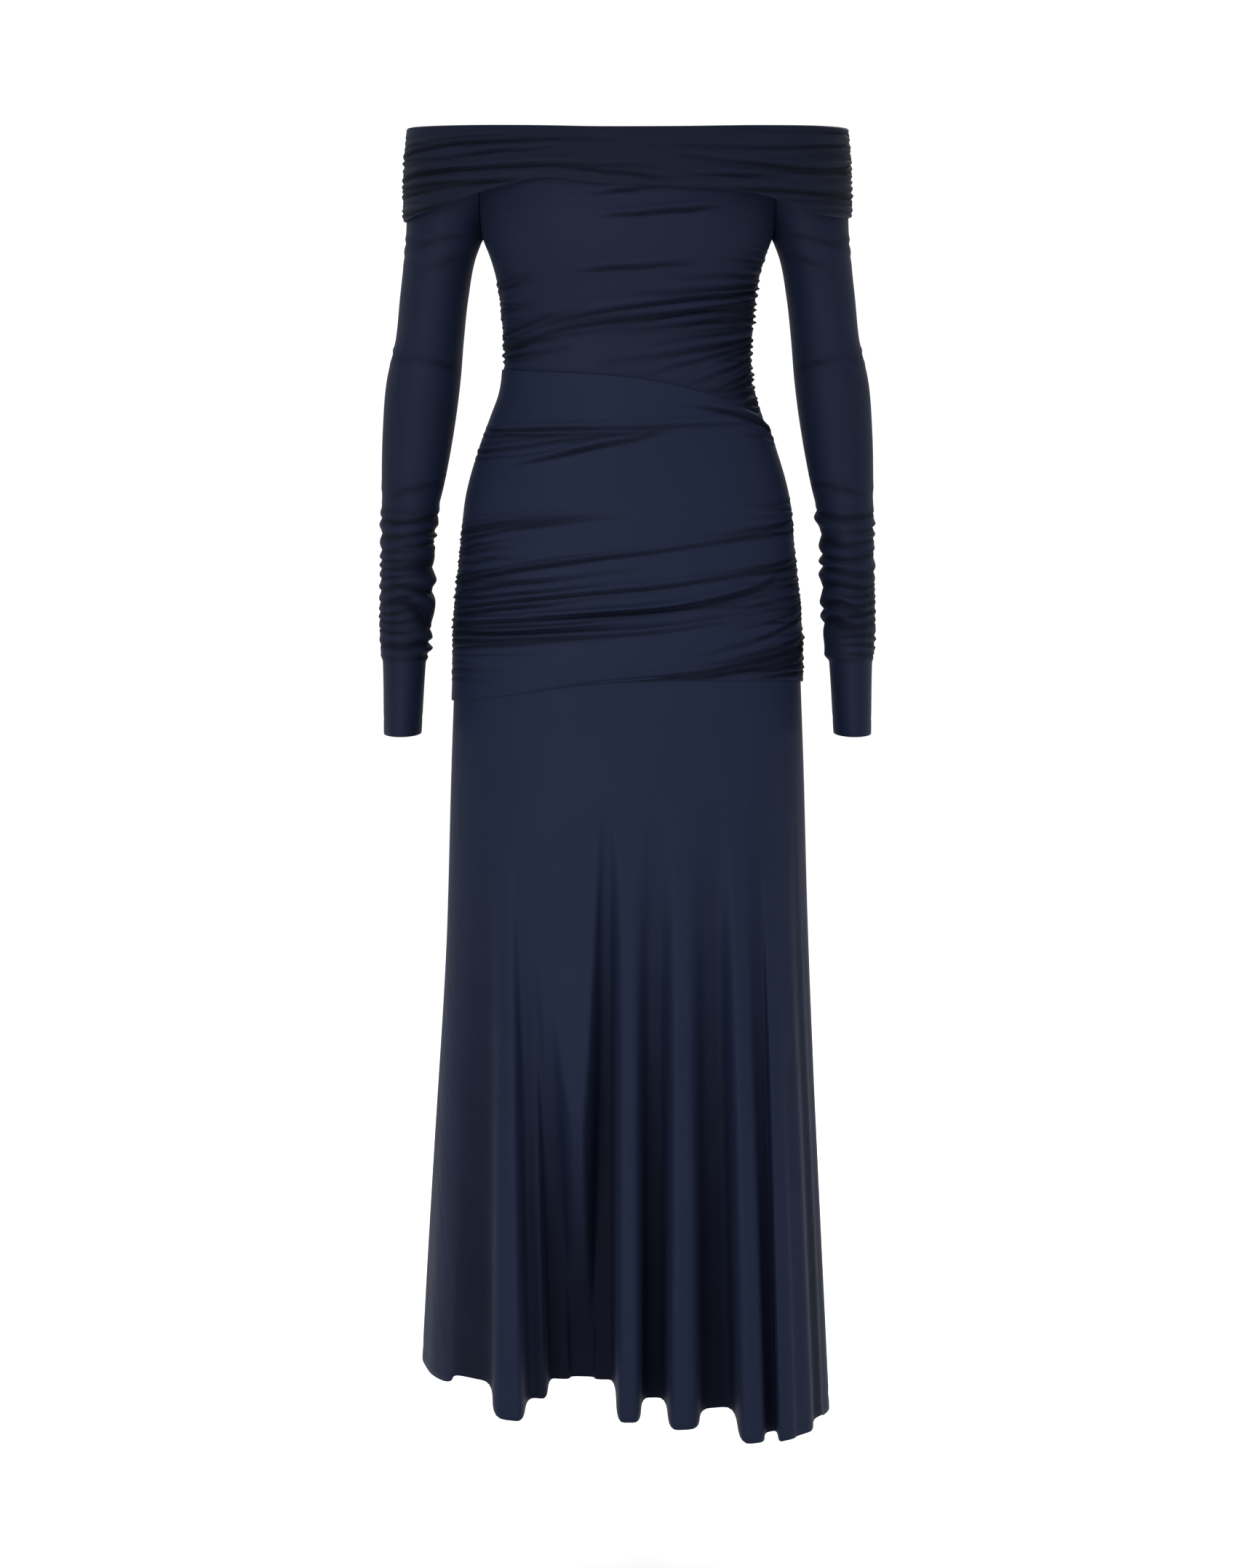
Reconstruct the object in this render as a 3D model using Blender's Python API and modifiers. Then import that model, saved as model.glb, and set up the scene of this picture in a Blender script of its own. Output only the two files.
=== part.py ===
"""Off-shoulder ruched dress in its worn, hollow form. Metres, +Z up, front towards -Y.

The origin is the centre of the neckline, where the wearer holds the dress up. Angles round the
body are in degrees: 0 at the right side (+X), 90 at the front, 180 at the left side, 270 at the back.
"""

import math
from collections import namedtuple

import bpy
import numpy as np

COLLECTION = "midi_dress"

WALL = 0.0015  # thickness of the cloth wall
SEAM_GAP = 0.0006  # between two pieces at a seam, on the outside; it narrows to 0.3 mm inside
LAYER_GAP = 0.0006  # between a piece and the one it lies on
OVER = WALL + LAYER_GAP  # how far an upper layer's outside lies off the lower layer's outside
ROUNDNESS = 0.9  # power on the cosines of a body section; 1 is an ellipse
SEAM_STRIP = 0.012  # first and last column of a panel, as a share of its width

ARMPIT = -0.104  # height where sleeve and bodice part
SKIRT_TOP = -0.492  # upper edge of the skirt, under the hip wrap
TUCK = 0.020  # how far the bodice runs down behind the hip wrap
SKIRT_TUCK = 0.0022  # how far the skirt draws in where the hip wrap lies over it
SKIRT_TUCK_END = -0.575  # height where that ends
SKIRT_TUCK_FADE = 0.030  # height over which it fades out
NECK_STEP = 0.003  # bodice and sleeves end this far under the band's upper edge
FOLD_STEEPNESS = 0.80  # 0 gives wavy hem folds, 1 gives parallel sides
FOLD_FLAT = 0.17  # share of a hem fold that stays level at its ridge and at its valley

Section = namedtuple("Section", "height half_width front back")
BODY = (
    Section(0.000, 0.2050, 0.1100, 0.0900),
    Section(-0.030, 0.1720, 0.1175, 0.0895),
    Section(-0.060, 0.1480, 0.1235, 0.0885),
    Section(-0.085, 0.1400, 0.1265, 0.0875),
    Section(-0.104, 0.1362, 0.1250, 0.0865),
    Section(-0.120, 0.1300, 0.1200, 0.0850),
    Section(-0.145, 0.1230, 0.1090, 0.0820),
    Section(-0.177, 0.1190, 0.0950, 0.0795),
    Section(-0.215, 0.1165, 0.0850, 0.0785),
    Section(-0.248, 0.1200, 0.0850, 0.0850),
    Section(-0.270, 0.1280, 0.0870, 0.0910),
    Section(-0.300, 0.1390, 0.0905, 0.0990),
    Section(-0.341, 0.1510, 0.0945, 0.1110),
    Section(-0.399, 0.1575, 0.0975, 0.1240),
    Section(-0.463, 0.1640, 0.0990, 0.1270),
    Section(-0.525, 0.1660, 0.1005, 0.1220),
    Section(-0.595, 0.1688, 0.1040, 0.1170),
    Section(-0.765, 0.1745, 0.1130, 0.1200),
    Section(-0.964, 0.1850, 0.1220, 0.1300),
    Section(-1.240, 0.2000, 0.1300, 0.1400),
)

# Body angle of the armhole seam in front and behind, and how far the sleeve is open from its inner side.
Armhole = namedtuple("Armhole", "height front back sleeve")
ARMHOLE = (
    Armhole(0.000, 50.0, 50.0, 75.0),
    Armhole(-0.030, 38.0, 40.0, 66.0),
    Armhole(-0.060, 23.0, 27.0, 50.0),
    Armhole(-0.085, 11.0, 14.0, 28.0),
    Armhole(-0.098, 4.0, 6.0, 11.0),
    Armhole(ARMPIT, 0.0, 0.0, 0.0),
)
ARMHOLE_ROWS = (0.000, -0.014, -0.030, -0.046, -0.060, -0.074, -0.085, -0.094, -0.100, ARMPIT)
DIP_ROWS = 3  # rows over which the neckline's dip fades out

Arm = namedtuple("Arm", "height centre_x centre_y half_width half_depth")
ARM = (
    Arm(0.000, 0.1680, 0.000, 0.0360, 0.0500),
    Arm(-0.055, 0.1712, 0.000, 0.0365, 0.0490),
    Arm(-0.104, 0.1732, 0.002, 0.0362, 0.0480),
    Arm(-0.120, 0.1770, 0.003, 0.0340, 0.0475),
    Arm(-0.158, 0.1830, 0.005, 0.0325, 0.0460),
    Arm(-0.199, 0.1878, 0.008, 0.0325, 0.0445),
    Arm(-0.236, 0.1938, 0.010, 0.0352, 0.0440),
    Arm(-0.284, 0.1990, 0.006, 0.0340, 0.0430),
    Arm(-0.334, 0.2040, -0.002, 0.0298, 0.0400),
    Arm(-0.380, 0.2090, -0.008, 0.0238, 0.0370),
    Arm(-0.431, 0.2102, -0.013, 0.0234, 0.0355),
    Arm(-0.470, 0.2118, -0.016, 0.0226, 0.0355),
    Arm(-0.500, 0.2125, -0.018, 0.0198, 0.0370),
    Arm(-0.5725, 0.2145, -0.022, 0.0170, 0.0395),
)
SLEEVE_PLAIN_ROWS = 9  # between the armpit and the bunched forearm
BUNCH_TOP = -0.352
BUNCH_BOTTOM = -0.497
BUNCHES = 12  # rings of bunched cloth on a forearm
BUNCH_DEPTH = 0.0034
BUNCH_TILT = 0.0040
CUFF_ROWS = 3
CUFF_BOTTOM = -0.5725
SLEEVE_COLUMNS = 10

# Upper and lower edge of the off-shoulder band, round the body.
Edge = namedtuple("Edge", "angle top bottom")
BAND_EDGE = (
    Edge(0, 0.000, -0.084),
    Edge(39, -0.003, -0.081),
    Edge(56, -0.005, -0.067),
    Edge(84, -0.008, -0.060),
    Edge(97, -0.008, -0.057),
    Edge(108, -0.006, -0.052),
    Edge(122, -0.004, -0.060),
    Edge(143, -0.002, -0.076),
    Edge(180, 0.000, -0.088),
    Edge(225, -0.002, -0.072),
    Edge(270, -0.003, -0.064),
    Edge(315, -0.002, -0.070),
    Edge(360, 0.000, -0.084),
)
BAND = (
    Section(0.000, 0.2074, 0.1124, 0.0924),
    Section(-0.020, 0.2092, 0.1180, 0.0948),
    Section(-0.045, 0.2106, 0.1236, 0.0965),
    Section(-0.070, 0.2112, 0.1280, 0.0970),
    Section(-0.090, 0.2116, 0.1290, 0.0970),
)
BAND_ROWS = 13
BAND_COLUMNS = (22, 18)  # front, back

# Upper and lower edge of the hip wrap, round the body.
WRAP_EDGE = (
    Edge(0, -0.285, -0.523),
    Edge(20, -0.269, -0.518),
    Edge(50, -0.250, -0.514),
    Edge(90, -0.232, -0.514),
    Edge(135, -0.227, -0.530),
    Edge(180, -0.226, -0.540),
    Edge(225, -0.232, -0.530),
    Edge(270, -0.250, -0.515),
    Edge(315, -0.272, -0.512),
    Edge(360, -0.285, -0.523),
)
BODICE_LOWER_ROWS = (23, 14)  # front, back
WRAP_ROWS = (35, 22)
PANEL_COLUMNS = (14, 13)

# A fold runs across a panel, whose left seam is 0 and right seam 1. A fold that starts at a seam is a gather.
Fold = namedtuple("Fold", "start start_height end end_height bow depth width")
BODICE_FRONT_FOLDS = (
    Fold(0.30, -0.088, 0.74, -0.086, 0.001, -0.0016, 0.010),
    Fold(0.26, -0.135, 0.70, -0.128, 0.001, -0.0018, 0.010),
    Fold(1.00, -0.146, 0.50, -0.150, 0.002, 0.0022, 0.0055),
    Fold(1.00, -0.157, 0.36, -0.172, 0.003, 0.0026, 0.0055),
    Fold(1.00, -0.168, 0.42, -0.186, 0.003, 0.0026, 0.0055),
    Fold(1.00, -0.179, 0.30, -0.203, 0.003, 0.0028, 0.0055),
    Fold(1.00, -0.190, 0.34, -0.215, 0.002, 0.0026, 0.0055),
    Fold(1.00, -0.201, 0.44, -0.223, 0.002, 0.0026, 0.0055),
    Fold(1.00, -0.212, 0.50, -0.230, 0.002, 0.0026, 0.0055),
    Fold(1.00, -0.223, 0.62, -0.236, 0.001, 0.0028, 0.0055),
    Fold(1.00, -0.234, 0.70, -0.244, 0.001, 0.0028, 0.0055),
    Fold(1.00, -0.246, 0.78, -0.254, 0.001, 0.0028, 0.0060),
    Fold(1.00, -0.259, 0.84, -0.264, 0.000, 0.0026, 0.0060),
    Fold(0.00, -0.158, 0.22, -0.138, 0.001, 0.0020, 0.0055),
    Fold(0.00, -0.182, 0.34, -0.156, 0.003, 0.0022, 0.0055),
    Fold(0.00, -0.194, 0.38, -0.170, 0.003, 0.0024, 0.0055),
    Fold(0.00, -0.205, 0.40, -0.186, 0.003, 0.0024, 0.0055),
    Fold(0.00, -0.216, 0.30, -0.206, 0.002, 0.0024, 0.0055),
)
BODICE_BACK_FOLDS = (
    Fold(0.00, -0.150, 0.44, -0.156, 0.002, 0.0022, 0.0070),
    Fold(0.00, -0.164, 0.56, -0.178, 0.003, 0.0024, 0.0070),
    Fold(0.00, -0.178, 0.50, -0.196, 0.003, 0.0026, 0.0070),
    Fold(0.00, -0.192, 0.62, -0.214, 0.003, 0.0026, 0.0070),
    Fold(0.00, -0.206, 0.46, -0.224, 0.002, 0.0026, 0.0070),
    Fold(0.00, -0.220, 0.40, -0.234, 0.001, 0.0026, 0.0070),
    Fold(0.00, -0.235, 0.30, -0.246, 0.001, 0.0026, 0.0070),
    Fold(0.00, -0.250, 0.22, -0.258, 0.000, 0.0026, 0.0070),
    Fold(1.00, -0.170, 0.70, -0.148, 0.002, 0.0022, 0.0070),
    Fold(1.00, -0.186, 0.64, -0.166, 0.003, 0.0024, 0.0070),
    Fold(1.00, -0.202, 0.60, -0.186, 0.003, 0.0024, 0.0070),
)
WRAP_FRONT_FOLDS = (
    Fold(1.00, -0.300, 0.44, -0.272, 0.004, 0.0024, 0.0075),
    Fold(1.00, -0.316, 0.10, -0.296, 0.006, 0.0024, 0.0080),
    Fold(0.00, -0.352, 0.52, -0.334, 0.008, 0.0022, 0.0060),
    Fold(0.00, -0.364, 0.60, -0.344, 0.006, 0.0024, 0.0060),
    Fold(0.00, -0.376, 0.40, -0.364, 0.004, 0.0024, 0.0060),
    Fold(0.00, -0.388, 0.34, -0.372, 0.004, 0.0024, 0.0060),
    Fold(0.00, -0.400, 0.80, -0.352, 0.000, 0.0024, 0.0060),
    Fold(0.00, -0.412, 0.36, -0.400, 0.002, 0.0024, 0.0060),
    Fold(0.00, -0.424, 0.70, -0.392, 0.002, 0.0026, 0.0060),
    Fold(0.00, -0.436, 0.90, -0.388, 0.000, 0.0026, 0.0065),
    Fold(0.00, -0.449, 0.50, -0.434, 0.000, 0.0024, 0.0065),
    Fold(0.00, -0.462, 0.80, -0.420, 0.000, 0.0026, 0.0065),
    Fold(0.00, -0.476, 0.86, -0.440, 0.000, 0.0026, 0.0065),
    Fold(1.00, -0.366, 0.60, -0.386, 0.000, 0.0022, 0.0065),
    Fold(1.00, -0.392, 0.50, -0.412, 0.000, 0.0022, 0.0065),
    Fold(1.00, -0.406, 0.46, -0.428, 0.000, 0.0024, 0.0065),
    Fold(1.00, -0.420, 0.40, -0.452, 0.000, 0.0024, 0.0065),
    Fold(1.00, -0.434, 0.44, -0.470, 0.000, 0.0026, 0.0065),
    Fold(1.00, -0.448, 0.34, -0.490, 0.000, 0.0026, 0.0065),
    Fold(1.00, -0.462, 0.20, -0.506, 0.000, 0.0026, 0.0065),
    Fold(1.00, -0.476, 0.60, -0.494, 0.000, 0.0024, 0.0065),
    Fold(1.00, -0.490, 0.50, -0.500, 0.000, 0.0024, 0.0065),
    Fold(1.00, -0.504, 0.70, -0.506, 0.000, 0.0024, 0.0065),
)
WRAP_BACK_FOLDS = (
    Fold(0.00, -0.304, 0.56, -0.286, 0.006, 0.0024, 0.0090),
    Fold(0.00, -0.322, 0.80, -0.306, 0.006, 0.0024, 0.0090),
    Fold(1.00, -0.352, 0.42, -0.330, 0.006, 0.0024, 0.0085),
    Fold(1.00, -0.369, 0.34, -0.346, 0.004, 0.0024, 0.0085),
    Fold(1.00, -0.386, 0.60, -0.370, 0.003, 0.0026, 0.0085),
    Fold(1.00, -0.403, 0.24, -0.362, 0.002, 0.0026, 0.0085),
    Fold(1.00, -0.420, 0.40, -0.398, 0.000, 0.0026, 0.0085),
    Fold(1.00, -0.437, 0.20, -0.406, 0.000, 0.0026, 0.0085),
    Fold(1.00, -0.455, 0.46, -0.436, 0.000, 0.0026, 0.0085),
    Fold(1.00, -0.473, 0.30, -0.450, 0.000, 0.0026, 0.0085),
    Fold(0.00, -0.380, 0.40, -0.392, 0.000, 0.0024, 0.0085),
    Fold(0.00, -0.400, 0.54, -0.420, 0.000, 0.0024, 0.0085),
    Fold(0.00, -0.420, 0.56, -0.446, 0.000, 0.0026, 0.0085),
    Fold(0.00, -0.440, 0.64, -0.474, 0.000, 0.0026, 0.0085),
    Fold(0.00, -0.460, 0.72, -0.496, 0.000, 0.0026, 0.0085),
    Fold(0.00, -0.480, 0.44, -0.494, 0.000, 0.0024, 0.0085),
)
# On the band a fold's heights are shares of the band's own depth, 0 at its upper edge.
BAND_FRONT_FOLDS = (
    Fold(0.00, 0.20, 0.46, 0.12, -0.02, 0.0020, 0.070),
    Fold(0.00, 0.36, 0.98, 0.28, -0.10, 0.0024, 0.075),
    Fold(0.00, 0.50, 0.60, 0.42, 0.00, 0.0022, 0.070),
    Fold(0.00, 0.62, 0.66, 0.56, 0.02, 0.0026, 0.070),
    Fold(0.00, 0.74, 0.40, 0.78, 0.02, 0.0022, 0.070),
    Fold(0.00, 0.87, 0.34, 0.92, 0.00, 0.0022, 0.070),
    Fold(1.00, 0.16, 0.52, 0.22, 0.02, 0.0020, 0.070),
    Fold(1.00, 0.46, 0.50, 0.40, 0.06, 0.0026, 0.075),
    Fold(1.00, 0.60, 0.62, 0.62, 0.00, 0.0022, 0.070),
    Fold(1.00, 0.73, 0.70, 0.76, 0.00, 0.0022, 0.070),
    Fold(1.00, 0.87, 0.60, 0.88, 0.00, 0.0022, 0.070),
)
BAND_BACK_FOLDS = (
    Fold(0.00, 0.18, 0.50, 0.24, 0.02, 0.0020, 0.075),
    Fold(0.00, 0.34, 0.96, 0.36, -0.06, 0.0022, 0.075),
    Fold(0.00, 0.50, 0.56, 0.54, 0.00, 0.0022, 0.075),
    Fold(0.00, 0.66, 0.66, 0.66, 0.00, 0.0024, 0.075),
    Fold(0.00, 0.84, 0.50, 0.82, 0.00, 0.0022, 0.075),
    Fold(1.00, 0.22, 0.62, 0.18, 0.00, 0.0020, 0.075),
    Fold(1.00, 0.52, 0.60, 0.46, 0.00, 0.0022, 0.075),
    Fold(1.00, 0.70, 0.50, 0.72, 0.00, 0.0022, 0.075),
    Fold(1.00, 0.86, 0.60, 0.84, 0.00, 0.0022, 0.075),
)

# Ridges and valleys of the hem: x where the fold begins, its place at the hem, and the height it begins at.
HemFold = namedtuple("HemFold", "begin_x hem_x hem_y hem_height begins")
SEAM_LEFT = HemFold(-0.200, -0.203, 0.030, -1.207, -0.80)
SEAM_RIGHT = HemFold(0.200, 0.197, 0.010, -1.232, -0.80)
HEM_FRONT = (
    SEAM_LEFT,
    HemFold(-0.160, -0.178, -0.042, -1.205, -0.78),
    HemFold(-0.138, -0.130, -0.060, -1.198, -0.66),
    HemFold(-0.112, -0.109, -0.150, -1.207, -0.70),
    HemFold(-0.085, -0.084, -0.078, -1.194, -0.72),
    HemFold(-0.058, -0.045, -0.064, -1.187, -0.80),
    HemFold(-0.029, -0.014, -0.078, -1.194, -0.66),
    HemFold(-0.010, 0.001, -0.150, -1.209, -0.74),
    HemFold(0.020, 0.023, -0.098, -1.199, -0.76),
    HemFold(0.045, 0.051, -0.150, -1.216, -0.72),
    HemFold(0.070, 0.080, -0.102, -1.205, -0.68),
    HemFold(0.101, 0.116, -0.152, -1.228, -0.68),
    HemFold(0.120, 0.133, -0.122, -1.226, -0.66),
    HemFold(0.138, 0.152, -0.138, -1.230, -0.66),
    HemFold(0.153, 0.172, -0.094, -1.228, -0.60),
    HemFold(0.163, 0.188, -0.070, -1.234, -0.66),
    SEAM_RIGHT,
)
HEM_BACK = (
    SEAM_RIGHT,
    HemFold(0.158, 0.184, 0.072, -1.228, -0.70),
    HemFold(0.134, 0.150, 0.128, -1.232, -0.70),
    HemFold(0.104, 0.112, 0.096, -1.222, -0.66),
    HemFold(0.070, 0.076, 0.168, -1.226, -0.72),
    HemFold(0.040, 0.040, 0.112, -1.216, -0.68),
    HemFold(0.008, 0.006, 0.174, -1.220, -0.74),
    HemFold(-0.026, -0.030, 0.108, -1.210, -0.66),
    HemFold(-0.060, -0.068, 0.168, -1.214, -0.70),
    HemFold(-0.096, -0.108, 0.100, -1.204, -0.68),
    HemFold(-0.130, -0.146, 0.136, -1.210, -0.72),
    HemFold(-0.156, -0.182, 0.082, -1.203, -0.74),
    SEAM_LEFT,
)
SKIRT_ROWS = 10
STEPS_PER_HEM_FOLD = 3

NAVY = (0.0165, 0.0203, 0.0420, 1.0)
JERSEY_ROUGHNESS = 0.78


def smooth(table, key):
    """Every column of a table at each key, smooth through its rows. The first column is the key."""
    rows = np.array(sorted(table), float)
    slopes = np.gradient(rows, rows[:, 0], axis=0)
    key = np.clip(key, rows[0, 0], rows[-1, 0])
    low = np.clip(np.searchsorted(rows[:, 0], key) - 1, 0, len(rows) - 2)
    span = (rows[low + 1, 0] - rows[low, 0])[..., None]
    t = (key[..., None] - rows[low, 0][..., None]) / span
    value = (2 * t**3 - 3 * t**2 + 1) * rows[low]
    value += (t**3 - 2 * t**2 + t) * span * slopes[low]
    value += (3 * t**2 - 2 * t**3) * rows[low + 1]
    value += (t**3 - t**2) * span * slopes[low + 1]
    return type(table[0])(*np.moveaxis(value, -1, 0))


def signed_power(value, power):
    return np.sign(value) * np.abs(value) ** power


def ring(table, angle, height, out=0.0):
    """Points on the sections of a table, moved out of the surface by out."""
    angle, height = np.broadcast_arrays(np.asarray(angle, float), np.asarray(height, float))
    section = smooth(table, height)
    across = np.cos(np.radians(angle))
    ahead = np.sin(np.radians(angle))
    depth = np.where(ahead > 0, section.front, section.back)
    x = section.half_width * signed_power(across, ROUNDNESS)
    y = -depth * signed_power(ahead, ROUNDNESS)
    normal_x = signed_power(across, 2 - ROUNDNESS) / section.half_width
    normal_y = -signed_power(ahead, 2 - ROUNDNESS) / depth
    size = np.hypot(normal_x, normal_y)
    return np.stack([x + out * normal_x / size, y + out * normal_y / size, height], axis=-1)


def panel_columns(count):
    """Shares of a panel's width, with a narrow strip along each seam."""
    inner = np.linspace(SEAM_STRIP, 1 - SEAM_STRIP, count - 1)
    return np.concatenate([[0.0], inner, [1.0]])


def lift(folds, across, height):
    """How far the folds lift the cloth at each place of a panel."""
    across, height = np.broadcast_arrays(across, height)
    out = np.zeros(across.shape)
    for fold in folds:
        run = (across - fold.start) / (fold.end - fold.start)
        inside = np.clip(run, 0, 1)
        line = fold.start_height + (fold.end_height - fold.start_height) * run
        line = line + 4 * fold.bow * inside * (1 - inside)
        if fold.start in (0.0, 1.0):
            fade = 1 - inside**2
        else:
            fade = np.sin(math.pi * inside)
        off_line = np.clip(np.abs(height - line) / fold.width, 0, 1)
        out += fold.depth * fade * np.cos(off_line * math.pi / 2) ** 2
    return out


def open_seams(points, gap=SEAM_GAP):
    """Draws the first and last column in by half a seam gap."""
    for edge, neighbour in ((0, 1), (-1, -2)):
        along = points[:, neighbour] - points[:, edge]
        length = np.linalg.norm(along, axis=-1, keepdims=True)
        points[:, edge] += along / length * gap / 2
    return points


def neck_dip(angle):
    """How far each armhole row drops with the neckline, at these body angles."""
    fade = np.clip(1 - np.arange(len(ARMHOLE_ROWS)) / DIP_ROWS, 0, 1)[:, None]
    top = smooth(BAND_EDGE, angle % 360).top
    return fade * (top - NECK_STEP)


def bodice(front):
    """Half of the bodice, from the neckline to the tuck behind the hip wrap."""
    across = panel_columns(PANEL_COLUMNS[0 if front else 1])
    heights = np.array(ARMHOLE_ROWS)
    seam = smooth(ARMHOLE, heights)
    seam_angle = (seam.front if front else seam.back)[:, None]
    first, last = (180.0, 0.0) if front else (360.0, 180.0)
    angle = first - seam_angle + (last - first + 2 * seam_angle) * across
    upper_height = heights[:, None] + neck_dip(angle)
    side_angle = first + (last - first) * across
    edge = smooth(WRAP_EDGE, side_angle)
    rows = BODICE_LOWER_ROWS[0 if front else 1]
    share = np.linspace(0, 1, rows + 1)[1:, None]
    lower_height = ARMPIT + (edge.top - TUCK - ARMPIT) * share
    height = np.concatenate([upper_height, lower_height])
    angle = np.concatenate([angle, np.broadcast_to(side_angle, lower_height.shape)])
    over_wrap = np.clip((height - edge.top) / TUCK * 3, 0, 1)
    folds = BODICE_FRONT_FOLDS if front else BODICE_BACK_FOLDS
    out = lift(folds, across, height) * over_wrap
    return open_seams(ring(BODY, angle, height, out))


def hip_wrap(front):
    """Half of the hip wrap, lying over the bodice's and the skirt's edges."""
    across = panel_columns(PANEL_COLUMNS[0 if front else 1])
    first, last = (180.0, 0.0) if front else (360.0, 180.0)
    angle = first + (last - first) * across
    edge = smooth(WRAP_EDGE, angle)
    share = np.linspace(0, 1, WRAP_ROWS[0 if front else 1] + 1)[:, None]
    height = edge.top + (edge.bottom - edge.top) * share
    folds = WRAP_FRONT_FOLDS if front else WRAP_BACK_FOLDS
    out = OVER + lift(folds, across, height)
    return open_seams(ring(BODY, angle, height, out))


def band(front):
    """Half of the off-shoulder band."""
    across = panel_columns(BAND_COLUMNS[0 if front else 1])
    first, last = (180.0, 0.0) if front else (360.0, 180.0)
    angle = first + (last - first) * across
    edge = smooth(BAND_EDGE, angle)
    share = np.linspace(0, 1, BAND_ROWS + 1)[:, None]
    height = edge.top + (edge.bottom - edge.top) * share
    out = lift(BAND_FRONT_FOLDS if front else BAND_BACK_FOLDS, across, share)
    return open_seams(ring(BAND, angle, height, out))


def angle_at(x, height, front):
    """Body angle where the figure's outline is at x, on the front or the back half."""
    half_width = smooth(BODY, height).half_width
    share = np.clip(signed_power(x / half_width, 1 / ROUNDNESS), -1, 1)
    angle = np.degrees(np.arccos(share))
    return angle if front else 360 - angle


def skirt(front):
    """Half of the skirt: the figure's own line above, drawn out to the hem's ridges and valleys below."""
    folds = np.array(HEM_FRONT if front else HEM_BACK)
    begin_x, hem_x, hem_y, hem_height, begins = folds.T
    begin_angle = angle_at(begin_x, begins, front)
    hem_angle = angle_at(hem_x, hem_height, front)
    for angles in (begin_angle, hem_angle):
        angles[0], angles[-1] = (180.0, 0.0) if front else (360.0, 180.0)
    away = np.stack([hem_x, hem_y], axis=-1) - ring(BODY, hem_angle, hem_height)[:, :2]
    steps = np.arange(STEPS_PER_HEM_FOLD * (len(folds) - 1) + 1) / STEPS_PER_HEM_FOLD
    steps = np.concatenate([[0.0, SEAM_STRIP * 6], steps[1:-1], [steps[-1] - SEAM_STRIP * 6, steps[-1]]])
    low = np.minimum(steps.astype(int), len(folds) - 2)
    step = steps - low
    rise = np.clip((step - FOLD_FLAT) / (1 - 2 * FOLD_FLAT), 0, 1)
    wave = rise**2 * (3 - 2 * rise)

    def between(values, share):
        return values[low] + (values[low + 1] - values[low]) * share

    hem = between(hem_height, wave)
    begin = between(begins, wave)
    share = np.linspace(0, 1, SKIRT_ROWS + 1)[:, None]
    height = SKIRT_TOP + (hem - SKIRT_TOP) * share
    fall = np.clip((begin - height) / (begin - hem), 0, 1)
    fullness = np.sin(fall * math.pi / 2) ** 1.3
    place = step + fullness * FOLD_STEEPNESS * np.sin(2 * math.pi * step) / (2 * math.pi)
    angle = between(begin_angle, place) * (1 - fall) + between(hem_angle, place) * fall
    tuck = np.clip((height - SKIRT_TUCK_END) / SKIRT_TUCK_FADE, 0, 1)
    points = ring(BODY, angle, height, -SKIRT_TUCK * tuck)
    for axis in (0, 1):
        points[..., axis] += fullness * between(away[:, axis], wave)
    return open_seams(points)


def sleeve_heights():
    """Row heights of a sleeve, and how much each row is bunched out and tilted."""
    plain = np.linspace(ARMPIT, BUNCH_TOP, SLEEVE_PLAIN_ROWS + 1)[1:]
    count = np.arange(1, 2 * BUNCHES + 1)
    uneven = 0.35 * np.sin(2.4 * count)
    bunched = BUNCH_TOP + (BUNCH_BOTTOM - BUNCH_TOP) * (count + uneven) / (2 * BUNCHES + 0.4)
    cuff = np.linspace(BUNCH_BOTTOM, CUFF_BOTTOM, CUFF_ROWS + 1)[1:]
    height = np.concatenate([ARMHOLE_ROWS, plain, bunched, cuff])
    lead = len(ARMHOLE_ROWS) + len(plain)
    out = np.zeros(len(height))
    tilt = np.zeros(len(height))
    out[lead : lead + len(count)] = BUNCH_DEPTH * (count % 2) * (0.8 + 0.3 * np.sin(1.7 * count))
    tilt[lead : lead + len(count)] = BUNCH_TILT * np.sin(math.pi * count / count[-1]) * np.sin(0.9 * count)
    return height, out, tilt


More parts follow.
